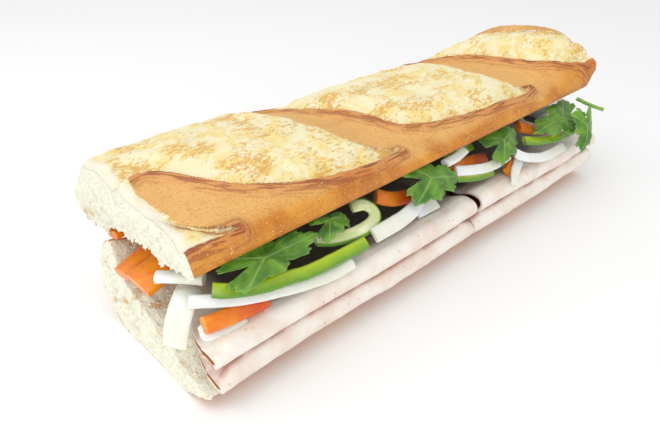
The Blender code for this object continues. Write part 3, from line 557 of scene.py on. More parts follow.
def withinRing(ring, x, y):
    inside = np.zeros(x.shape, dtype=bool)
    for (ax, ay), (bx, by) in zip(ring, np.roll(ring, -1, axis=0)):
        if ay != by:
            inside ^= ((ay > y) != (by > y)) & (x < (bx - ax) * (y - ay) / (by - ay) + ax)
    return inside


def slashFields(x, y):    # signed distances into the slash, from its front lip and from its rear edge
    field, lipField, rearField = (np.full(x.shape, -1.0) for _ in range(3))
    for lines in slashLines:
        lip, rear = smoothPath(lines["lip"], 110), smoothPath(lines["rear"], 110)
        toLip, toRear = distanceTo(lip, x, y), distanceTo(rear, x, y)
        inside = withinRing(np.vstack([lip, rear[::-1]]), x, y)
        field = np.maximum(field, np.where(inside, 1.0, -1.0) * np.minimum(toLip, toRear))
        signedLip = np.where(inside, toLip, -toLip)
        lipField = np.where(np.abs(signedLip) < np.abs(lipField), signedLip, lipField)
        rearField = np.where(inside, toRear, rearField)
    return field, lipField, rearField


def topEdge(x, y):
    loaf = topLoaf
    along = loaf["edgeRise"] * (x - loaf["near"]) / (loaf["far"] - loaf["near"])
    corner = loaf["cornerRise"] * smooth(loaf["cornerFrom"], loaf["far"], x)
    corner = corner * smooth(loaf["cornerBack"], loaf["cornerFront"], y)
    return loaf["edgeZ"] + along - loaf["edgeFall"] * (y - loaf["front"]) + corner


def topCrown(x, y):    # height of the loaf's back, which leans over at the far end
    loaf = topLoaf
    spread = np.linspace(-loaf["crownBlend"], loaf["crownBlend"], 9)
    level = np.mean([np.interp(x + shift, loaf["crownAt"], loaf["crownZ"]) for shift in spread], axis=0)
    lean = loaf["farLean"] * smooth(loaf["farLeanFrom"], loaf["far"], x)
    return level + lean * ((loaf["front"] + loaf["back"]) / 2.0 - y)


def buildTopBread(material):
    loaf, cut = topLoaf, slashes
    x, t, y = loafGrid(loaf)
    edge = topEdge(x, y)
    tall = topCrown(x, y) - edge
    dome = tall * (1.0 - np.abs(t) ** loaf["flank"]).clip(0.0) ** loaf["shoulder"]
    base = np.stack([x, y, edge + dome], axis=-1)
    field, lipField, rearField = slashFields(x, y)

    # slashes swell, their front lips stand up as ears, and their open crumb is lumpy and cracked
    relief = cut["rise"] * smooth(-0.001, cut["ramp"], field)
    dip = loaf["farDip"] * np.exp(-((y - loaf["farDipAt"]) / loaf["farDipWidth"]) ** 2)
    relief -= dip * smooth(loaf["farDipFrom"], loaf["far"], x)
    relief += cut["lipRise"] * np.exp(-((lipField + cut["lipSetback"]) / cut["lipWidth"]) ** 2)

    # the near end is pale between the cut and the browned crust
    border = loaf["near"] + cut["rim"] + cut["rimWander"] * layeredNoise(flat(x, y), 0.006, 31) - x
    field = np.maximum(field, np.where(y > -0.0245, border, -1.0))
    opened = smooth(0.0, 0.004, field)
    waver = 1.0 + 0.5 * layeredNoise(flat(x, y), 0.012, 32)
    ear = smooth(-0.0042, -0.0006, lipField) * (1.0 - smooth(-0.0002, 0.0009, lipField))
    relief += cut["earHeight"] * waver * ear
    relief -= cut["valley"] * np.exp(-((lipField - 0.0018) / 0.0012) ** 2)
    relief += cut["lump"] * opened * layeredNoise(base, 0.0065, 33)
    near, second = cellNoise(base * np.array([0.8, 1.2, 1.0]), 0.0052, 36)
    cracked = smooth(0.22, 0.0, second - near) * smooth(-0.2, 0.5, softNoise(base, 0.012, 37))
    relief -= cut["crack"] * opened * cracked
    torn = np.exp(-((rearField - 0.0008) / 0.0014) ** 2) * smooth(-0.3, 0.4, softNoise(base, 0.004, 38))
    relief -= cut["torn"] * torn
    relief += cut["grain"] * (1.0 - opened) * layeredNoise(base, 0.0022, 39)
    relief -= loaf["nearRound"] * smooth(0.0018, 0.0, x - loaf["near"])
    relief -= loaf["farRound"] * smooth(0.0015, 0.0, loaf["far"] - x)
    relief *= smooth(1.0, 0.97, np.abs(t))
    outY, outZ = t / ((loaf["back"] - loaf["front"]) / 2.0), dome / tall ** 2
    length = np.hypot(outY, outZ) + 1e-9
    high = np.stack([x, y + relief * outY / length, base[..., 2] + relief * outZ / length], axis=-1)
    normal = np.cross(np.gradient(base, axis=0), np.gradient(base, axis=1))
    upward = np.abs(normal[..., 2]) / (np.linalg.norm(normal, axis=-1) + 1e-12)

    # the crumb side sags in the middle and hangs torn along the near end
    hold = smooth(1.0, 0.93, np.abs(t))
    sag = loaf["sagDepth"] * np.exp(-((y - loaf["sagAt"]) / loaf["sagWidth"]) ** 2)
    ragged = 0.0009 * layeredNoise(flat(x, y), 0.011, 4) + 0.0007 * layeredNoise(flat(x, y), 0.0035, 41)
    teeth = np.abs(softNoise(flat(x, y), 0.0024, 42)) + 0.7 * np.abs(softNoise(flat(x, y), 0.0012, 43))
    fringe = smooth(0.010, 0.0, x - loaf["near"]) * (loaf["fringe"] * teeth - 0.0004)
    low = np.stack([x, y, edge - hold * (sag + ragged + fringe + loaf["tuck"])], axis=-1)
    low[:, 0], low[:, -1] = high[:, 0], high[:, -1]
    caps = [capGrid(high[0], low[0], loaf["capRows"], *loaf["nearCut"], 51, 1.0),
            capGrid(high[-1], low[-1], loaf["capRows"], *loaf["farCut"], 52, -1.0)]
    brim = np.maximum(smooth(0.0006, 0.0, x - loaf["near"]), smooth(0.0006, 0.0, loaf["far"] - x)) * 0.5
    values = {
        "slashDepth": (field * 1000.0, -9.0, -9.0), "lipGap": (lipField * 1000.0, -9.0, -9.0),
        "rearGap": (rearField * 1000.0, -9.0, -9.0), "crumbShare": (brim, 1.0, 1.0),
        "upward": (upward, 0.0, 0.3),
        "torn": (brim * 0.0, np.where(x - loaf["near"] < 0.0015, 1.0, 0.0), 0.02),
        "browned": (smooth(-0.0006, -0.0022, field) * smooth(0.15, 0.5, 1.15 - upward), 0.0, 0.0),
    }
    piece = pillow("breadTop", high, low, caps, material, values)
    standFor(piece, "bread_top")
    return piece


bottomLoaf = {
    "near": -0.1305, "far": 0.1130, "front": -0.0322, "back": 0.0385,
    "flatFront": -0.0160, "flatBack": 0.0220, "frontZ": 0.0056, "backZ": 0.0150,
    "frontPower": 1.6, "backPower": 1.8, "slope": 0.33,
    "rimAt": 0.0300, "rimRise": 0.0045, "rimWidth": 0.0048, "nearRise": 0.0038, "nearReach": 0.022,
    "lean": 0.10, "tuck": 0.0006,
    "nearCut": (0.0012, 0.0032, 0.0012), "farCut": (0.0009, 0.0028, 0.0009),
    "stations": 300, "across": 90, "capRows": 22,
}


def crumbSlope(y):
    return bottomLoaf["frontZ"] + bottomLoaf["slope"] * (y - bottomLoaf["front"])


def buildBottomBread(material):
    loaf = bottomLoaf
    x, t, y = loafGrid(loaf)
    rise = loaf["rimRise"] + loaf["nearRise"] * smooth(loaf["near"] + loaf["nearReach"], loaf["near"], x)
    rim = rise * np.exp(-((y - loaf["rimAt"]) / loaf["rimWidth"]) ** 2)
    over = np.clip((y - loaf["rimAt"]) / (loaf["back"] - loaf["rimAt"]), 0.0, 1.0)
    top = crumbSlope(loaf["rimAt"]) + rise
    shoulder = loaf["backZ"] + (top - loaf["backZ"]) * np.sqrt(np.clip(1.0 - over ** 2, 0.0, 1.0))
    z = np.where(y > loaf["rimAt"], shoulder, crumbSlope(y) + rim)
    spot = flat(x, y)
    near = cellNoise(spot, 0.0034, 61)[0]
    opened = smooth(0.0315, 0.0285, y)
    rough = 0.0005 * layeredNoise(spot, 0.011, 9) + 0.0004 * layeredNoise(spot, 0.0035, 62)
    rough -= 0.0009 * smooth(0.5, 0.15, near) * smooth(-0.1, 0.4, softNoise(spot, 0.009, 63))
    hold = smooth(1.0, 0.95, np.abs(t))
    high = np.stack([x, y, z + hold * (opened * rough - loaf["tuck"])], axis=-1)
    front = np.clip((loaf["flatFront"] - y) / (loaf["flatFront"] - loaf["front"]), 0.0, 1.0)
    back = np.clip((y - loaf["flatBack"]) / (loaf["back"] - loaf["flatBack"]), 0.0, 1.0)
    under = loaf["frontZ"] * front ** loaf["frontPower"] + loaf["backZ"] * back ** loaf["backPower"]
    low = np.stack([x, y, under], axis=-1)
    low[:, 0], low[:, -1] = high[:, 0], high[:, -1]
    for sheet in (high, low):
        sheet[..., 0] += loaf["lean"] * sheet[..., 2] * smooth(0.010, 0.0, x - loaf["near"])
    caps = [capGrid(high[0], low[0], loaf["capRows"], *loaf["nearCut"], 64, 1.0),
            capGrid(high[-1], low[-1], loaf["capRows"], *loaf["farCut"], 65, -1.0)]
    brim = np.maximum(smooth(0.0004, 0.0, x - loaf["near"]), smooth(0.0004, 0.0, loaf["far"] - x)) * 0.4
    values = {
        **{key: (np.full(x.shape, -9.0), -9.0, -9.0) for key in ("slashDepth", "lipGap", "rearGap")},
        "crumbShare": (opened, brim, 1.0),
        "upward": (np.full(x.shape, 0.6), 0.35, 0.3),
        "torn": (smooth(0.020, 0.0, x - loaf["near"]) * smooth(0.0285, 0.020, y) * 0.25, 0.0, 0.12),
        "browned": (smooth(0.030, 0.034, y), smooth(0.0, 0.004, under), 0.0),
    }
    piece = pillow("breadBottom", high, low, caps, material, values)
    standFor(piece, "bread_bottom")
    return piece


breadLook = breadMaterial("bread", breadColours)
breadPieces = [buildTopBread(breadLook), buildBottomBread(breadLook)]
print("bread made")


# meat

meat = {
    "thick": 0.0018, "gap": 0.0006, "foldY": -0.0318, "foldReach": 0.0046, "foldHalf": 0.0048,
    "foldFade": 0.010, "depth": 0.0520, "round": 0.995, "farShrink": 0.30,
    "stations": 170, "leafPoints": 22, "foldPoints": 30, "swing": 0.0004, "swingTurns": 55.0,
    "ripple": 0.00035, "surface": 0.00012,
    "slices": {    # level, near end, far end, wave, how far the near end is flattened
        "meat_near_lower": (0, -0.1265, 0.0050, 0.0, 0.82),
        "meat_near_upper": (1, -0.1268, 0.0058, 1.1, 0.82),
        "meat_far_lower": (0, 0.0063, 0.1140, 2.0, 0.25),
        "meat_far_upper": (1, 0.0100, 0.1125, 0.6, 0.18),
    },
    # the reddish brown colour on this line is painted shade in the crease where the two folded slices meet
    "pale": colour(245, 236, 226), "pink": colour(237, 219, 205), "rind": colour(172, 100, 76),
    # the darker hole colour on this line is painted shade in the meat's small holes
    "fleck": colour(208, 172, 148), "hole": colour(196, 168, 146),
    # the two inside colours are painted shade in the hollow of each fold
    "insideNear": colour(196, 128, 70), "insideFar": colour(140, 26, 18),
}


def meatMaterial():
    glowRadius = (0.0030, 0.0014, 0.0009)
    material, tree, shader, position = newMaterial("slicedMeat", 0.42, 0.15, 0.35, 0.25, glowRadius)
    rind = stored(tree, "rind")
    cloud = noise(tree, position, 90.0, 3.0, 0.3)
    base = mix(tree, fade(tree, cloud, 0.38, 0.66), meat["pale"], meat["pink"])
    spots = cells(tree, position, 420.0).outputs
    chosen = separate(tree, spots["Color"])
    fleck = times(tree, fade(tree, spots["Distance"], 0.30, 0.14), fade(tree, chosen["X"], 0.80, 0.84))
    # small holes, painted darker as shade and pressed in by the bump
    hole = times(tree, fade(tree, spots["Distance"], 0.20, 0.10), fade(tree, chosen["Y"], 0.955, 0.965))
    base = mix(tree, times(tree, fleck, 0.5), base, meat["fleck"])
    base = mix(tree, times(tree, hole, 0.6), base, meat["hole"])
    # painted shade, uneven, in the crease and along the faces where the two folded slices meet
    uneven = times(tree, rind, fade(tree, noise(tree, position, 150.0, 3.0, 0.5), 0.25, 0.6))
    base = mix(tree, times(tree, uneven, 0.75), base, meat["rind"])
    # painted shade inside the hollow of each fold: amber in the near slices and dark red in the far ones
    place = separate(tree, position)
    inside = mix(tree, fade(tree, place["X"], 0.004, 0.008), meat["insideNear"], meat["insideFar"])
    base = mix(tree, times(tree, fade(tree, stored(tree, "inner"), 0.7, 1.0), 0.9), base, inside)
    base = useGroup(tree, insideShade, {"Position": position, "Colour": base})["Colour"]
    grain = noise(tree, position, 700.0, 3.0, 0.2)
    relief = minus(tree, grain, times(tree, hole, 2.0))
    rough = spread(tree, grain, 0.34, 0.52)
    finishMaterial(tree, shader, base, rough, bump(tree, relief, 0.0003, 0.5))
    return material


def foldOpening(y):
    spread = 2.0 * meat["foldHalf"] - 2.0 * meat["thick"] - meat["gap"]
    return spread * np.exp(-((y - meat["foldY"]) / meat["foldFade"]) ** 2)


def sliceSection(level, reach, shrink):    # outer and inner line of a slice across its fold, and how much painted shade it takes where it meets the other slice
    thick, gap, foldY = meat["thick"], meat["gap"], meat["foldY"]
    y = foldY + np.linspace(1.0, 0.0, meat["leafPoints"] + 1)[:-1] ** 1.4 * reach
    low = crumbSlope(y) + 2.0 * gap + level * (2.0 * thick + 2.0 * gap + foldOpening(y))
    high = low + thick + gap + shrink * foldOpening(y)
    lowFold = crumbSlope(foldY) + 2.0 * gap + level * (2.0 * thick + 2.0 * gap + foldOpening(foldY))
    highFold = lowFold + 2.0 * thick + gap + shrink * foldOpening(foldY)
    middle, tall = (lowFold + highFold) / 2.0, (highFold - lowFold) / 2.0
    q = np.linspace(0.0, math.pi, meat["foldPoints"] + 1)
    reachOut = meat["foldReach"] * (0.75 + 0.25 * shrink)
    reachIn, tallIn = reachOut - thick, tall - thick
    outerFold = np.stack([foldY - reachOut * np.sin(q), middle + tall * np.cos(q)], axis=-1)
    innerFold = np.stack([foldY - reachIn * np.sin(q), middle + tallIn * np.cos(q)], axis=-1)
    outer = np.concatenate([np.stack([y, high + thick], -1), outerFold, np.stack([y, low], -1)[::-1]])
    inner = np.concatenate([np.stack([y, high], -1), innerFold, np.stack([y, low + thick], -1)[::-1]])
    # painted shade falls on the fold's crease against the other slice and, at 0.6, on the face that meets
    # it
    towards = smooth(2.35, 3.0, q) if level else smooth(0.75, 0.15, q)
    leaf = np.zeros(len(y))
    rind = np.concatenate([leaf if level else leaf + 0.6, towards, leaf + 0.6 if level else leaf])
    return outer, inner, rind


def buildSlice(name, level, nearX, farX, wave, nearShrink, material):
    centre, half = (nearX + farX) / 2.0, (farX - nearX) / 2.0
    rings, creaseShades, inners = [], [], []
    for along in -np.cos(np.pi * np.linspace(0.0, 1.0, meat["stations"])):
        x = centre + half * along
        reach = meat["depth"] * math.sqrt(1.0 - min(abs(along), meat["round"]) ** 2)
        end = smooth(half - 0.006, half, abs(half * along))
        flattened = nearShrink if along < 0.0 else meat["farShrink"]
        outer, inner, rind = sliceSection(level, reach, 1.0 - flattened * end ** 1.5)
        ring = np.concatenate([outer, inner[::-1]])
        swing = meat["swing"] * math.sin(wave + meat["swingTurns"] * x)
        rings.append(np.column_stack([np.full(len(ring), x), ring[:, 0] + swing, ring[:, 1]]))
        creaseShades.append(np.concatenate([rind, rind[::-1]]))
        inners.append(np.repeat((0.0, 1.0), len(rind)))
    grid = np.array(rings)
    push = meat["ripple"] * layeredNoise(grid * np.array([1.0, 0.5, 0.5]), 0.016, 71 + level)
    push += meat["surface"] * layeredNoise(grid, 0.003, 73)
    front = smooth(-0.022, -0.034, grid[..., 1])
    grid[..., 1] -= front * push
    stations, ring = grid.shape[:2]
    count = ring // 2
    faces = []
    for i in range(stations - 1):
        for k in range(ring):
            a, b = i * ring + k, i * ring + (k + 1) % ring
            faces.append([a, b, b + ring, a + ring])
    for start, flip in ((0, True), ((stations - 1) * ring, False)):
        for k in range(count - 1):
            cap = [start + k, start + k + 1, start + ring - 2 - k, start + ring - 1 - k]
            faces.append(cap[::-1] if flip else cap)
    values = {"rind": np.array(creaseShades), "inner": np.array(inners)}
    piece = makePiece(name.replace("_", "") + "Slice", grid.reshape(-1, 3), faces, material, values)
    makeOutward(piece)
    standFor(piece, name)


meatLook = meatMaterial()
for nodeName, shape in meat["slices"].items():
    buildSlice(nodeName, *shape, meatLook)
print("meat made")


# cut strips of vegetable, swept along a path by one geometry nodes tree

stripTreeInputs = (
    ("Width", "NodeSocketFloat", 0.006), ("Thickness", "NodeSocketFloat", 0.003),
    ("Roll Start", "NodeSocketFloat", 0.0), ("Roll End", "NodeSocketFloat", 0.0),
    ("Cup", "NodeSocketFloat", 0.0), ("Skin From", "NodeSocketFloat", -0.1),
    ("Start Size", "NodeSocketFloat", 0.4), ("End Size", "NodeSocketFloat", 0.4),
    ("Start Taper", "NodeSocketFloat", 0.14), ("End Taper", "NodeSocketFloat", 0.14),
    ("Across", "NodeSocketVector", (0.0, 0.0, 0.0)), ("Unevenness", "NodeSocketFloat", 0.0002),
    ("Seed", "NodeSocketFloat", 0.0), ("Material", "NodeSocketMaterial", None),
)


def newGeometryTree(name, inputs):
    tree = bpy.data.node_groups.new(name, "GeometryNodeTree")
    tree.interface.new_socket("Geometry", in_out="INPUT", socket_type="NodeSocketGeometry")
    for title, kind, value in inputs:
        socket = tree.interface.new_socket(title, in_out="INPUT", socket_type=kind)
        if value is not None:
            socket.default_value = value
    tree.interface.new_socket("Geometry", in_out="OUTPUT", socket_type="NodeSocketGeometry")
    return tree, tree.nodes.new("NodeGroupInput").outputs, tree.nodes.new("NodeGroupOutput").inputs


def keep(tree, geometry, name, value):    # stores a value on every point
    feeds = {"Geometry": geometry, "Name": name, "Value": value}
    return add(tree, "GeometryNodeStoreNamedAttribute", {}, feeds).outputs[0]


def buildStripTree():
    tree, given, out = newGeometryTree("cutStrip", stripTreeInputs)
    even = add(tree, "GeometryNodeResampleCurve", {}, {"Curve": given["Geometry"], "Count": 72}).outputs[0]
    factor = add(tree, "GeometryNodeSplineParameter").outputs["Factor"]
    run = add(tree, "GeometryNodeInputTangent").outputs[0]
    level = vectorCalc(tree, "CROSS_PRODUCT", run, (0.0, 0.0, 1.0))
    chosen = calc(tree, "GREATER_THAN", vectorCalc(tree, "LENGTH", given["Across"]), 0.5)
    feeds = {0: chosen, 4: level, 5: given["Across"]}
    side = add(tree, "ShaderNodeMix", {"data_type": "VECTOR"}, feeds).outputs[1]
    feeds = {"Curve": even, "Normal": side}
    turned = add(tree, "GeometryNodeSetCurveNormal", {"mode": "FREE"}, feeds).outputs[0]
    roll = between(tree, factor, given["Roll Start"], given["Roll End"])
    tilted = add(tree, "GeometryNodeSetCurveTilt", {}, {"Curve": turned, "Tilt": roll}).outputs[0]
    rise = fade(tree, factor, 0.0, given["Start Taper"])
    fall = fade(tree, minus(tree, 1.0, factor), 0.0, given["End Taper"])
    first = between(tree, rise, given["Start Size"], 1.0)
    last = between(tree, fall, given["End Size"], 1.0)
    tipRound = times(tree, fade(tree, factor, -0.012, 0.02), fade(tree, factor, 1.012, 0.98))
    size = times(tree, times(tree, first, last), tipRound)
    spine = add(tree, "GeometryNodeSetCurveRadius", {}, {"Curve": tilted, "Radius": size}).outputs[0]
    spine = keep(tree, keep(tree, spine, "along", factor), "skinFrom", given["Skin From"])

    circle = add(tree, "GeometryNodeCurvePrimitiveCircle", {}, {"Resolution": 30, "Radius": 1.0}).outputs[0]
    spot = separate(tree, add(tree, "GeometryNodeInputPosition").outputs[0])
    edges = []
    for axis in ("X", "Y"):
        size = calc(tree, "POWER", calc(tree, "ABSOLUTE", spot[axis]), 0.7)
        edges.append(times(tree, size, calc(tree, "SIGN", spot[axis])))
    wide = times(tree, edges[0], times(tree, given["Width"], 0.5))
    bend = times(tree, given["Cup"], minus(tree, 0.5, calc(tree, "POWER", edges[0], 2.0)))
    tall = times(tree, edges[1], times(tree, given["Thickness"], 0.5))
    ring = keep(tree, keep(tree, circle, "side", spot["X"]), "face", spot["Y"])
    shape = combine(tree, wide, plus(tree, tall, bend))
    ring = add(tree, "GeometryNodeSetPosition", {}, {"Geometry": ring, "Position": shape}).outputs[0]
    feeds = {"Curve": spine, "Profile Curve": ring, "Fill Caps": True}
    swept = add(tree, "GeometryNodeCurveToMesh", {}, feeds).outputs[0]
    place = add(tree, "GeometryNodeInputPosition").outputs[0]
    feeds = {"Vector": place, "W": given["Seed"], "Scale": 260.0, "Detail": 2.0}
    wander = add(tree, "ShaderNodeTexNoise", {"noise_dimensions": "4D"}, feeds).outputs["Fac"]
    push = times(tree, minus(tree, wander, 0.5), given["Unevenness"])
    normal = add(tree, "GeometryNodeInputNormal").outputs[0]
    shift = add(tree, "ShaderNodeVectorMath", {"operation": "SCALE"}, {0: normal, "Scale": push}).outputs[0]
    moved = add(tree, "GeometryNodeSetPosition", {}, {"Geometry": swept, "Offset": shift}).outputs[0]
    real = add(tree, "GeometryNodeRealizeInstances", {}, {"Geometry": moved}).outputs[0]
    feeds = {"Geometry": real, "Material": given["Material"]}
    done = add(tree, "GeometryNodeSetMaterial", {}, feeds).outputs[0]
    tree.links.new(done, out["Geometry"])
    return tree


def growPiece(name, source, tree, values):    # runs a geometry nodes tree on source and keeps its mesh
    modifier = source.modifiers.new(tree.name, "NODES")
    modifier.node_group = tree
    for item in tree.interface.items_tree:
        if item.in_out == "INPUT" and item.name in values:
            modifier[item.identifier] = values[item.name]
    bpy.context.view_layer.update()
    graph = bpy.context.evaluated_depsgraph_get()
    mesh = bpy.data.meshes.new_from_object(source.evaluated_get(graph), depsgraph=graph)
    source.modifiers.remove(modifier)
    bpy.data.objects.remove(source)
    piece = bpy.data.objects.new(name, mesh)
    bpy.context.scene.collection.objects.link(piece)
    return piece


def buildStrip(tree, node, material, slotName, seed, path, width, thick, roll=(0.0, 0.0), cup=0.0,
               ends=(0.4, 0.4), across=(0.0, 0.0, 0.0), taper=(0.14, 0.14), uneven=0.0005, skin=-0.1):
    line = bpy.data.curves.new(node + "Path", "CURVE")
    line.dimensions = "3D"
    spots = smoothPath(path)
    spline = line.splines.new("POLY")
    spline.points.add(len(spots) - 1)
    spline.points.foreach_set("co", np.column_stack([spots, np.ones(len(spots))]).ravel())
    source = bpy.data.objects.new(node + "Path", line)
    bpy.context.scene.collection.objects.link(source)
    values = {"Width": width, "Thickness": thick, "Roll Start": math.radians(-roll[0]),
              "Roll End": math.radians(-roll[1]), "Cup": cup, "Start Size": ends[0], "End Size": ends[1],
              "Start Taper": taper[0], "End Taper": taper[1], "Across": across, "Unevenness": uneven,
              "Skin From": skin, "Seed": float(seed), "Material": material}
    piece = growPiece(node.replace("_", "") + "Strip", source, tree, values)
    makeOutward(piece)
    piece.data.shade_smooth()
    piece.data.set_sharp_from_angle(angle=math.radians(60.0))
    standFor(piece, node)
    return piece


strips = {
    "carrot_1": dict(path=[(-0.1296, 0.0176, 0.0272), (-0.1140, 0.0196, 0.0315),
        (-0.0880, 0.0240, 0.0372)], width=0.0085, thick=0.0045, roll=(5, 0)),
    "carrot_2": dict(path=[(-0.1300, 0.0045, 0.0300), (-0.1195, 0.0050, 0.0328),
        (-0.1080, 0.0064, 0.0352), (-0.0880, 0.0070, 0.0365)], width=0.0130, thick=0.0042, roll=(-8, 0),
        ends=(0.6, 0.4)),
    "carrot_3": dict(path=[(-0.1258, 0.0285, 0.0372), (-0.1150, 0.0295, 0.0372),
        (-0.1040, 0.0300, 0.0374)], width=0.0065, thick=0.0036),
    "carrot_4": dict(path=[(-0.1263, -0.0296, 0.0322), (-0.1155, -0.0300, 0.0308),
        (-0.1033, -0.0296, 0.0296)], width=0.0056, thick=0.0034, roll=(-50, -50), ends=(0.7, 0.2),
        taper=(0.12, 0.8)),
    "carrot_5": dict(path=[(-0.0428, -0.0205, 0.0405), (-0.0358, -0.0228, 0.0374),
        (-0.0240, -0.0232, 0.0346)], width=0.0060, thick=0.0030, roll=(-50, -50), ends=(0.25, 0.25),
        taper=(0.4, 0.4)),
    "carrot_6": dict(path=[(0.0035, -0.0222, 0.0372), (0.0140, -0.0222, 0.0364),
        (0.0280, -0.0222, 0.0340)], width=0.0050, thick=0.0026, roll=(-50, -50), ends=(0.3, 0.3),
        taper=(0.3, 0.3)),
    "carrot_7": dict(path=[(0.0322, -0.0322, 0.0288), (0.0375, -0.0305, 0.0302),
        (0.0466, -0.0280, 0.0300)], width=0.0044, thick=0.0026, roll=(-45, -45), ends=(0.6, 0.4)),
    "carrot_8": dict(path=[(0.0566, -0.0205, 0.0406), (0.0641, -0.0230, 0.0377),
        (0.0788, -0.0240, 0.0337)], width=0.0058, thick=0.0034, roll=(-40, -40)),
    "carrot_9": dict(path=[(-0.0800, 0.0290, 0.0372), (-0.0400, 0.0312, 0.0368),
        (-0.0080, 0.0285, 0.0372)], width=0.0068, thick=0.0036),
    "carrot_10": dict(path=[(0.0780, 0.0060, 0.0365), (0.0950, 0.0050, 0.0372),
        (0.1150, 0.0055, 0.0368)], width=0.0080, thick=0.0042),
    "radish_1": dict(path=[(-0.1276, -0.0055, 0.0378), (-0.1223, -0.0110, 0.0380),
        (-0.1174, -0.0172, 0.0381)], width=0.0044, thick=0.0034, ends=(0.45, 0.6)),
    "radish_2": dict(path=[(-0.1195, -0.0110, 0.0325), (-0.1252, -0.0165, 0.0332),
        (-0.1296, -0.0190, 0.0288), (-0.1318, -0.0185, 0.0205)], width=0.0095, thick=0.0016, cup=0.0008,
        ends=(0.8, 0.5), across=(0.35, -0.94, 0.0)),
    "radish_3": dict(path=[(-0.1263, -0.0225, 0.0371), (-0.1214, -0.0262, 0.0369),
        (-0.1131, -0.0298, 0.0352), (-0.1031, -0.0318, 0.0332), (-0.0921, -0.0334, 0.0311),
        (-0.0794, -0.0342, 0.0292), (-0.0687, -0.0346, 0.0294)], width=0.0042, thick=0.0018,
        roll=(-50, -50), ends=(0.15, 0.6), taper=(0.15, 0.1)),
    "radish_4": dict(path=[(-0.0220, -0.0262, 0.0358), (-0.0297, -0.0298, 0.0344),
        (-0.0384, -0.0317, 0.0343), (-0.0459, -0.0323, 0.0342), (-0.0556, -0.0321, 0.0339)],
        width=0.0060, thick=0.0018, roll=(50, 50), ends=(0.35, 0.4), taper=(0.25, 0.15)),
    "radish_5": dict(path=[(-0.0262, -0.0272, 0.0296), (-0.0145, -0.0282, 0.0304)], width=0.0062,
        thick=0.0015, roll=(-40, -40)),
    "radish_6": dict(path=[(0.0001, -0.0265, 0.0385), (0.0074, -0.0285, 0.0371),
        (0.0166, -0.0300, 0.0355), (0.0242, -0.0310, 0.0357), (0.0322, -0.0312, 0.0370)], width=0.0044,
        thick=0.0018, roll=(-50, -50), ends=(0.2, 0.2), taper=(0.35, 0.35)),
    "radish_7": dict(path=[(0.0427, -0.0315, 0.0315), (0.0351, -0.0345, 0.0290),
        (0.0306, -0.0378, 0.0250)], width=0.0052, thick=0.0015, roll=(45, 45), ends=(0.7, 0.5)),
    "radish_8": dict(path=[(0.0376, -0.0315, 0.0364), (0.0427, -0.0345, 0.0337),
        (0.0535, -0.0360, 0.0305), (0.0645, -0.0362, 0.0293), (0.0775, -0.0350, 0.0285)], width=0.0046,
        thick=0.0014, roll=(-45, -45), ends=(0.5, 0.3), taper=(0.2, 0.3)),
    "radish_9": dict(path=[(-0.0065, -0.0250, 0.0435), (0.0010, -0.0250, 0.0438),
        (0.0090, -0.0235, 0.0440)], width=0.0040, thick=0.0024, roll=(-20, -20)),
    "radish_10": dict(path=[(-0.1255, -0.0256, 0.0291), (-0.1258, -0.0292, 0.0272),
        (-0.1201, -0.0312, 0.0276), (-0.1126, -0.0312, 0.0278)], width=0.0022, thick=0.0010,
        roll=(-45, -45), ends=(0.6, 0.5)),
    "radish_11": dict(path=[(0.0000, 0.0255, 0.0372), (0.0300, 0.0280, 0.0368),
        (0.0600, 0.0265, 0.0374)], width=0.0062, thick=0.0034),
    "radish_12": dict(path=[(0.0820, -0.0130, 0.0350), (0.0980, -0.0120, 0.0360),
        (0.1165, -0.0125, 0.0352)], width=0.0080, thick=0.0036),
    "pepper_1": dict(path=[(-0.1206, -0.0268, 0.0410), (-0.1161, -0.0295, 0.0398),
        (-0.1061, -0.0320, 0.0377), (-0.0977, -0.0328, 0.0365), (-0.0874, -0.0332, 0.0346),
        (-0.0761, -0.0332, 0.0340), (-0.0677, -0.0330, 0.0336), (-0.0605, -0.0325, 0.0330)],
        width=0.0048, thick=0.0026, roll=(-50, -50), ends=(0.6, 0.15), taper=(0.08, 0.3)),
    "pepper_2": dict(path=[(-0.0558, -0.0203, 0.0411), (-0.0502, -0.0214, 0.0402),
        (-0.0478, -0.0243, 0.0379), (-0.0501, -0.0270, 0.0358), (-0.0562, -0.0279, 0.0350),
        (-0.0639, -0.0275, 0.0353), (-0.0710, -0.0263, 0.0363), (-0.0769, -0.0242, 0.0379)],
        width=0.0052, thick=0.0018, roll=(90, 90), ends=(0.5, 0.4), across=(0.0, -0.62, 0.78)),
    "pepper_3": dict(path=[(0.0020, -0.0190, 0.0415), (0.0110, -0.0200, 0.0412),
        (0.0200, -0.0190, 0.0410)], width=0.0042, thick=0.0026, roll=(-30, -30)),
    "pepper_4": dict(path=[(0.0012, -0.0262, 0.0347), (0.0121, -0.0285, 0.0322),
        (0.0238, -0.0295, 0.0309)], width=0.0040, thick=0.0020, roll=(-50, -50), ends=(0.4, 0.3)),
    "pepper_5": dict(path=[(0.0497, -0.0285, 0.0376), (0.0601, -0.0312, 0.0353),
        (0.0734, -0.0325, 0.0332), (0.0890, -0.0325, 0.0322)], width=0.0042, thick=0.0022,
        roll=(-50, -50), ends=(0.6, 0.3)),
    "pepper_6": dict(path=[(0.0680, 0.0285, 0.0374), (0.0900, 0.0300, 0.0370),
        (0.1145, 0.0265, 0.0374)], width=0.0056, thick=0.0034),
}

skinFrom = {"pepper_1": -1.4, "pepper_2": 0.5, "pepper_5": -1.4}    # how far to its side a strip is flesh
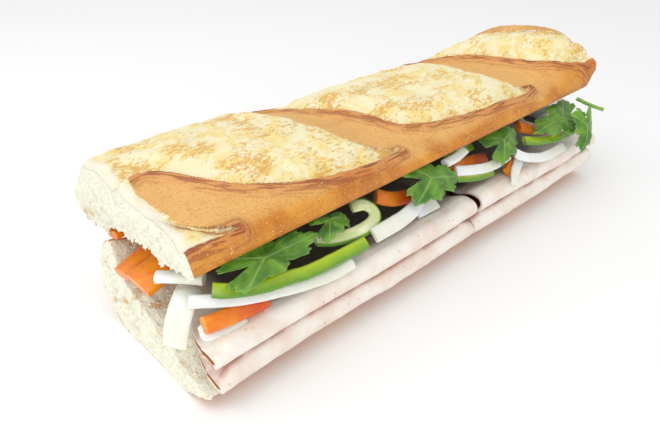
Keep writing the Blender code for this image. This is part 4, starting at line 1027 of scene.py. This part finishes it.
# the fourth colour of carrot, radish and stem is painted shade for a strip's far part
vegetable = {
    "carrot": (colour(246, 152, 4), colour(238, 124, 4), colour(224, 98, 6), colour(214, 62, 10)),
    "radish": (colour(252, 254, 252), colour(246, 249, 240), colour(230, 233, 208), colour(240, 238, 214)),
    # the dark pepper colour is painted shade on one side of the skin
    "pepperSkin": colour(176, 202, 20), "pepperDark": colour(92, 146, 12),
    "pepperFlesh": colour(222, 234, 160), "pepperPale": colour(244, 247, 214),
    "leaf": colour(62, 112, 18), "leafLight": colour(110, 158, 34), "leafPale": colour(160, 194, 110),
    "stem": (colour(140, 186, 80), colour(124, 172, 66), colour(96, 148, 44), colour(132, 180, 74)),
}


def stripMaterial(name, colours, roughness, glow, radius):    # the last colour is painted shade on the strip's far part
    material, tree, shader, position = newMaterial(name, roughness, 0.3, 0.15, glow, radius)
    along = stored(tree, "along")
    lines = useGroup(tree, fibres, {"Along": along, "Side": stored(tree, "side"), "Position": position})
    base = mix(tree, fade(tree, lines["Cloud"], 0.35, 0.65), colours[0], colours[1])
    # painted shade darkens the strip's far part towards the last colour
    base = mix(tree, times(tree, fade(tree, along, 0.15, 0.75), 0.75), base, colours[3])
    base = mix(tree, times(tree, fade(tree, lines["Threads"], 0.5, 0.75), 0.45), base, colours[2])
    base = useGroup(tree, insideShade, {"Position": position, "Colour": base})["Colour"]
    relief = plus(tree, lines["Threads"], times(tree, lines["Cloud"], 0.7))
    rough = spread(tree, lines["Cloud"], roughness - 0.08, roughness + 0.12)
    finishMaterial(tree, shader, base, rough, bump(tree, relief, 0.0004, 0.5))
    return material


def pepperMaterial():
    glowRadius = (0.0012, 0.0016, 0.0006)
    material, tree, shader, position = newMaterial("greenPepper", 0.24, 0.4, 0.1, 0.2, glowRadius)
    side, face, along = stored(tree, "side"), stored(tree, "face"), stored(tree, "along")
    lines = useGroup(tree, fibres, {"Along": along, "Side": face, "Position": position})
    # painted shade: the skin turns darker towards one side of the strip
    lower = plus(tree, side, scaled(tree, lines["Cloud"], 0.6, -0.3))
    skin = mix(tree, fade(tree, lower, -0.7, 0.8), vegetable["pepperSkin"], vegetable["pepperDark"])
    paleShare = fade(tree, lines["Threads"], 0.4, 0.7)
    flesh = mix(tree, paleShare, vegetable["pepperFlesh"], vegetable["pepperPale"])
    depth = plus(tree, side, scaled(tree, lines["Threads"], 0.3, -0.15))
    depth = minus(tree, depth, stored(tree, "skinFrom"))
    base = mix(tree, fade(tree, depth, -0.2, 0.2), flesh, skin)
    base = useGroup(tree, insideShade, {"Position": position, "Colour": base})["Colour"]
    finishMaterial(tree, shader, base, None, bump(tree, lines["Cloud"], 0.0003, 0.4))
    return material


stripTree = buildStripTree()
looks = {
    "carrot": stripMaterial("carrot", vegetable["carrot"], 0.36, 0.35, (0.0040, 0.0016, 0.0005)),
    "radish": stripMaterial("radish", vegetable["radish"], 0.30, 0.5, (0.0040, 0.0036, 0.0026)),
    "pepper": pepperMaterial(),
}
for order, (nodeName, shape) in enumerate(strips.items()):
    kind = nodeName.split("_")[0]
    skin = skinFrom.get(nodeName, -0.1)
    buildStrip(stripTree, nodeName, looks[kind], kind, order, **shape, skin=skin)
print("strips made:", len(strips))


# herb leaves

leafShape = {"rings": 16, "around": 180, "thick": 0.0004, "wave": 0.0008, "veins": (0.0, 2.1, -2.1)}
leaves = {
    "herb_leaf_1": dict(heart=(-0.1022, -0.0290, 0.0446), length=0.042, width=0.0142, heading=0, tilt=0,
        lean=22, droop=0.001),
    "herb_leaf_2": dict(heart=(-0.0712, -0.0258, 0.0443), length=0.019, width=0.0125, heading=0, tilt=5,
        lean=12),
    "herb_leaf_3": dict(heart=(-0.0218, -0.0302, 0.0443), length=0.032, width=0.0185, heading=-12,
        tilt=8, lean=40),
    "herb_leaf_4": dict(heart=(0.0318, -0.0283, 0.0436), length=0.035, width=0.0165, heading=10, tilt=0,
        lean=32),
    "herb_leaf_5": dict(heart=(0.0790, -0.0314, 0.0420), length=0.046, width=0.0185, heading=180,
        tilt=1, lean=-30, droop=0.001),
    "herb_leaf_6": dict(heart=(0.0826, -0.0424, 0.0399), length=0.024, width=0.0150, heading=-105,
        tilt=72, lean=0),
    "herb_leaf_7": dict(heart=(0.0150, 0.0422, 0.0345), length=0.024, width=0.018, heading=80, tilt=25,
        lean=0),
}
stem = dict(path=[(0.0985, -0.0275, 0.0455), (0.0995, -0.0352, 0.0438), (0.1010, -0.0410, 0.0428)],
            width=0.0018, thick=0.0016, ends=(0.7, 0.7))


def leafMaterial():
    glowRadius = (0.0006, 0.0012, 0.0003)
    material, tree, shader, position = newMaterial("herbLeaf", 0.42, 0.15, 0.3, 0.15, glowRadius)
    vein, edge = stored(tree, "vein"), stored(tree, "share")
    cloud = noise(tree, position, 160.0, 4.0, 0.5)
    base = mix(tree, fade(tree, cloud, 0.35, 0.68), vegetable["leaf"], vegetable["leafLight"])
    base = mix(tree, times(tree, vein, 0.65), base, vegetable["leafPale"])
    base = mix(tree, times(tree, fade(tree, edge, 0.9, 1.0), 0.25), base, vegetable["leafPale"])
    blister = cells(tree, position, 900.0).outputs["Distance"]
    relief = minus(tree, blister, times(tree, vein, 0.9))
    finishMaterial(tree, shader, base, None, bump(tree, relief, 0.00025, 0.6))
    return material


def leafOutline(angle):
    lobes = 0.69 + 0.31 * np.abs(np.cos(1.5 * angle)) ** 0.8
    teeth = 1.0 + 0.085 * np.cos(9.0 * angle) + 0.04 * np.cos(27.0 * angle + 0.6)
    notch = 1.0 - 0.55 * np.exp(-((np.abs(angle) - math.pi) / 0.35) ** 2)
    return lobes * teeth * notch


def buildLeaf(node, material, heart, length, width, heading, tilt, lean, droop=0.003):
    turn, down, roll = (math.radians(a) for a in (heading, tilt, lean))
    tip = np.array([math.cos(turn) * math.cos(down), math.sin(turn) * math.cos(down), -math.sin(down)])
    level = np.array([-math.sin(turn), math.cos(turn), 0.0])
    side = math.cos(roll) * level + math.sin(roll) * np.cross(tip, level)
    normal = np.cross(tip, side)
    rings, around = leafShape["rings"], leafShape["around"]
    angle = np.linspace(0.0, 2.0 * math.pi, around, endpoint=False)
    angle = np.where(angle > math.pi, angle - 2.0 * math.pi, angle)
    share = np.repeat(np.linspace(0.0, 1.0, rings + 1)[1:, None], around, axis=1)
    reach = share * leafOutline(angle)[None]
    a, b = reach * np.cos(angle), reach * np.sin(angle)
    seed = sum(map(ord, node))
    spot = np.stack([a, b, np.full_like(a, seed * 0.37)], axis=-1)
    rise = -droop * (a * a + b * b) + leafShape["wave"] * share * np.sin(3.0 * angle)
    rise = rise + 0.0007 * share * layeredNoise(spot, 0.45, seed)
    main = [np.abs(np.sin(angle - m)) * reach + 9.0 * (np.cos(angle - m) < 0.0) for m in leafShape["veins"]]
    main = np.min(main, axis=0)
    minor = np.abs(np.sin(4.5 * angle)) * reach
    vein = np.exp(-(main / 0.030) ** 2) + 0.55 * np.exp(-(minor / 0.05) ** 2) * smooth(0.15, 0.4, share)
    vein = np.clip(vein, 0.0, 1.0) * (1.0 - 0.6 * share ** 3)
    rise = rise - 0.00025 * vein
    grid = np.array(heart) + tip * (a * length / 2.0)[..., None] + side * (b * width / 2.0)[..., None]
    vertices, veins, shares = [], [], []
    for face in (1.0, -1.0):
        half = face * leafShape["thick"] / 2.0
        lift = rise + half * (1.0 - 0.5 * share ** 4)
        vertices += [[np.array(heart) + normal * half], (grid + normal * lift[..., None]).reshape(-1, 3)]
        veins += [[1.0], vein.ravel()]
        shares += [[0.0], share.ravel()]
    back = 1 + rings * around
    faces = []
    for base, order in ((0, 1), (back, -1)):
        for k in range(around):
            n = (k + 1) % around
            faces.append([base, base + 1 + k, base + 1 + n][::order])
            for ring in range(rings - 1):
                inner, outer = base + 1 + ring * around, base + 1 + (ring + 1) * around
                faces.append([inner + k, outer + k, outer + n, inner + n][::order])
    rim = 1 + (rings - 1) * around
    for k in range(around):
        n = (k + 1) % around
        faces.append([rim + k, back + rim + k, back + rim + n, rim + n])
    values = {"vein": np.concatenate(veins), "share": np.concatenate(shares)}
    piece = makePiece(node.replace("_", ""), np.concatenate(vertices), faces, material, values)
    makeOutward(piece)
    standFor(piece, node)


# crumbs and blisters, scattered on the bread by one geometry nodes tree

scatterTreeInputs = (
    ("Share Name", "NodeSocketString", ""), ("Density", "NodeSocketFloat", 1000.0),
    ("Smallest", "NodeSocketFloat", 0.0001), ("Largest", "NodeSocketFloat", 0.0003),
    ("Flatness", "NodeSocketFloat", 1.0), ("Seed", "NodeSocketInt", 0),
    ("Material", "NodeSocketMaterial", None),
)
scatters = {
    "crumbs": {"share": "torn", "density": 500000.0, "sizes": (0.00022, 0.00060),
               "flatness": 0.75, "seed": 11},
    "blisters": {"share": "browned", "density": 260000.0, "sizes": (0.00010, 0.00026),
                 "flatness": 0.35, "seed": 12},
}


def buildScatterTree():
    tree, given, out = newGeometryTree("scatteredBits", scatterTreeInputs)
    feeds = {"Name": given["Share Name"]}
    share = add(tree, "GeometryNodeInputNamedAttribute", {"data_type": "FLOAT"}, feeds).outputs[0]
    density = times(tree, share, given["Density"])
    feeds = {"Mesh": given["Geometry"], "Density": density, "Seed": given["Seed"]}
    spots = add(tree, "GeometryNodeDistributePointsOnFaces", {}, feeds).outputs
    bit = add(tree, "GeometryNodeMeshIcoSphere", {}, {"Radius": 1.0, "Subdivisions": 1}).outputs["Mesh"]
    stretch = add(tree, "FunctionNodeRandomValue", {}, {2: 0.75, 3: 1.35, "Seed": 5}).outputs[1]
    feeds = {2: given["Smallest"], 3: given["Largest"], "Seed": given["Seed"]}
    size = add(tree, "FunctionNodeRandomValue", {}, feeds).outputs[1]
    scale = combine(tree, times(tree, size, stretch), size, times(tree, size, given["Flatness"]))
    feeds = {"Points": spots["Points"], "Instance": bit, "Rotation": spots["Rotation"], "Scale": scale}
    placed = add(tree, "GeometryNodeInstanceOnPoints", {}, feeds).outputs[0]
    real = add(tree, "GeometryNodeRealizeInstances", {}, {"Geometry": placed}).outputs[0]
    rounded = add(tree, "GeometryNodeSetShadeSmooth", {}, {"Geometry": real}).outputs[0]
    feeds = {"Geometry": rounded, "Material": given["Material"]}
    done = add(tree, "GeometryNodeSetMaterial", {}, feeds).outputs[0]
    tree.links.new(done, out["Geometry"])
    return tree


def scatterOn(bread, kind, node, tree, material):
    source = bread.copy()
    source.data = bread.data.copy()
    bpy.context.scene.collection.objects.link(source)
    shape = scatters[kind]
    values = {"Share Name": shape["share"], "Density": shape["density"], "Smallest": shape["sizes"][0],
              "Largest": shape["sizes"][1], "Flatness": shape["flatness"], "Seed": shape["seed"],
              "Material": material}
    piece = growPiece(bread.name + kind.capitalize(), source, tree, values)
    standFor(piece, node)
    print(piece.name, len(piece.data.polygons))


scatterTree = buildScatterTree()
crumbLook = bitMaterial("crumbs", breadColours["crumb"], breadColours["rim"])
blisterLook = bitMaterial("blisters", breadColours["speck"], breadColours["flankGold"])
for bread, nodeName in zip(breadPieces, ("bread_top", "bread_bottom")):
    scatterOn(bread, "crumbs", nodeName, scatterTree, crumbLook)
    scatterOn(bread, "blisters", nodeName, scatterTree, blisterLook)

leafLook = leafMaterial()
for nodeName, shape in leaves.items():
    buildLeaf(nodeName, leafLook, **shape)
stemLook = stripMaterial("herbStem", vegetable["stem"], 0.4, 0.2, (0.0006, 0.0012, 0.0003))
buildStrip(stripTree, "herb_stem", stemLook, "herb", 90, **stem)
print("leaves made:", len(leaves))

# camera, floor and light

view = {"place": (-0.1918, -0.1535, 0.1518), "heading": 46.7, "pitch": 31.5, "focal": 600.0,
        "frameWidth": 660.0}
light = {"world": 0.80, "key": 2.1, "fill": 1.6}


def makeCamera():
    heading, pitch = math.radians(view["heading"]), math.radians(view["pitch"])
    level = math.cos(pitch)
    ahead = Vector((math.cos(heading) * level, math.sin(heading) * level, -math.sin(pitch)))
    data = bpy.data.cameras.new("camera")
    data.sensor_width = 36.0
    data.lens = data.sensor_width * view["focal"] / view["frameWidth"]
    camera = bpy.data.objects.new("camera", data)
    camera.location = view["place"]
    camera.rotation_euler = ahead.to_track_quat("-Z", "Y").to_euler()
    bpy.context.scene.collection.objects.link(camera)
    bpy.context.scene.camera = camera


def makeLight(name, place, target, size, power):
    data = bpy.data.lights.new(name, "AREA")
    data.size = size
    data.energy = power
    lamp = bpy.data.objects.new(name, data)
    lamp.location = place
    lamp.rotation_euler = (Vector(target) - Vector(place)).to_track_quat("-Z", "Y").to_euler()
    bpy.context.scene.collection.objects.link(lamp)


def makeFloor():
    material, tree, shader, position = newMaterial("paleFloor", 0.6)
    grain = times(tree, noise(tree, position, 60.0), 0.2)
    finishMaterial(tree, shader, mix(tree, grain, colour(252, 252, 252), colour(246, 246, 247)))
    half = 3.0
    corners = [(-half, -half, 0.0), (half, -half, 0.0), (half, half, 0.0), (-half, half, 0.0)]
    makePiece("floor", corners, [(0, 1, 2, 3)], material)


def makeStudio():
    world = bpy.data.worlds.new("studio")
    world.use_nodes = True
    world.node_tree.nodes["Background"].inputs["Color"].default_value = (1.0, 1.0, 1.0, 1.0)
    world.node_tree.nodes["Background"].inputs["Strength"].default_value = light["world"]
    bpy.context.scene.world = world
    bpy.context.scene.view_settings.view_transform = "Standard"
    makeLight("keyLight", (-0.35, 0.15, 0.75), (0.0, 0.0, 0.03), 0.7, light["key"])
    makeLight("fillLight", (-0.55, -0.55, 0.35), (0.0, 0.0, 0.03), 0.6, light["fill"])


makeCamera()
makeFloor()
makeStudio()
print("camera, floor and light set")
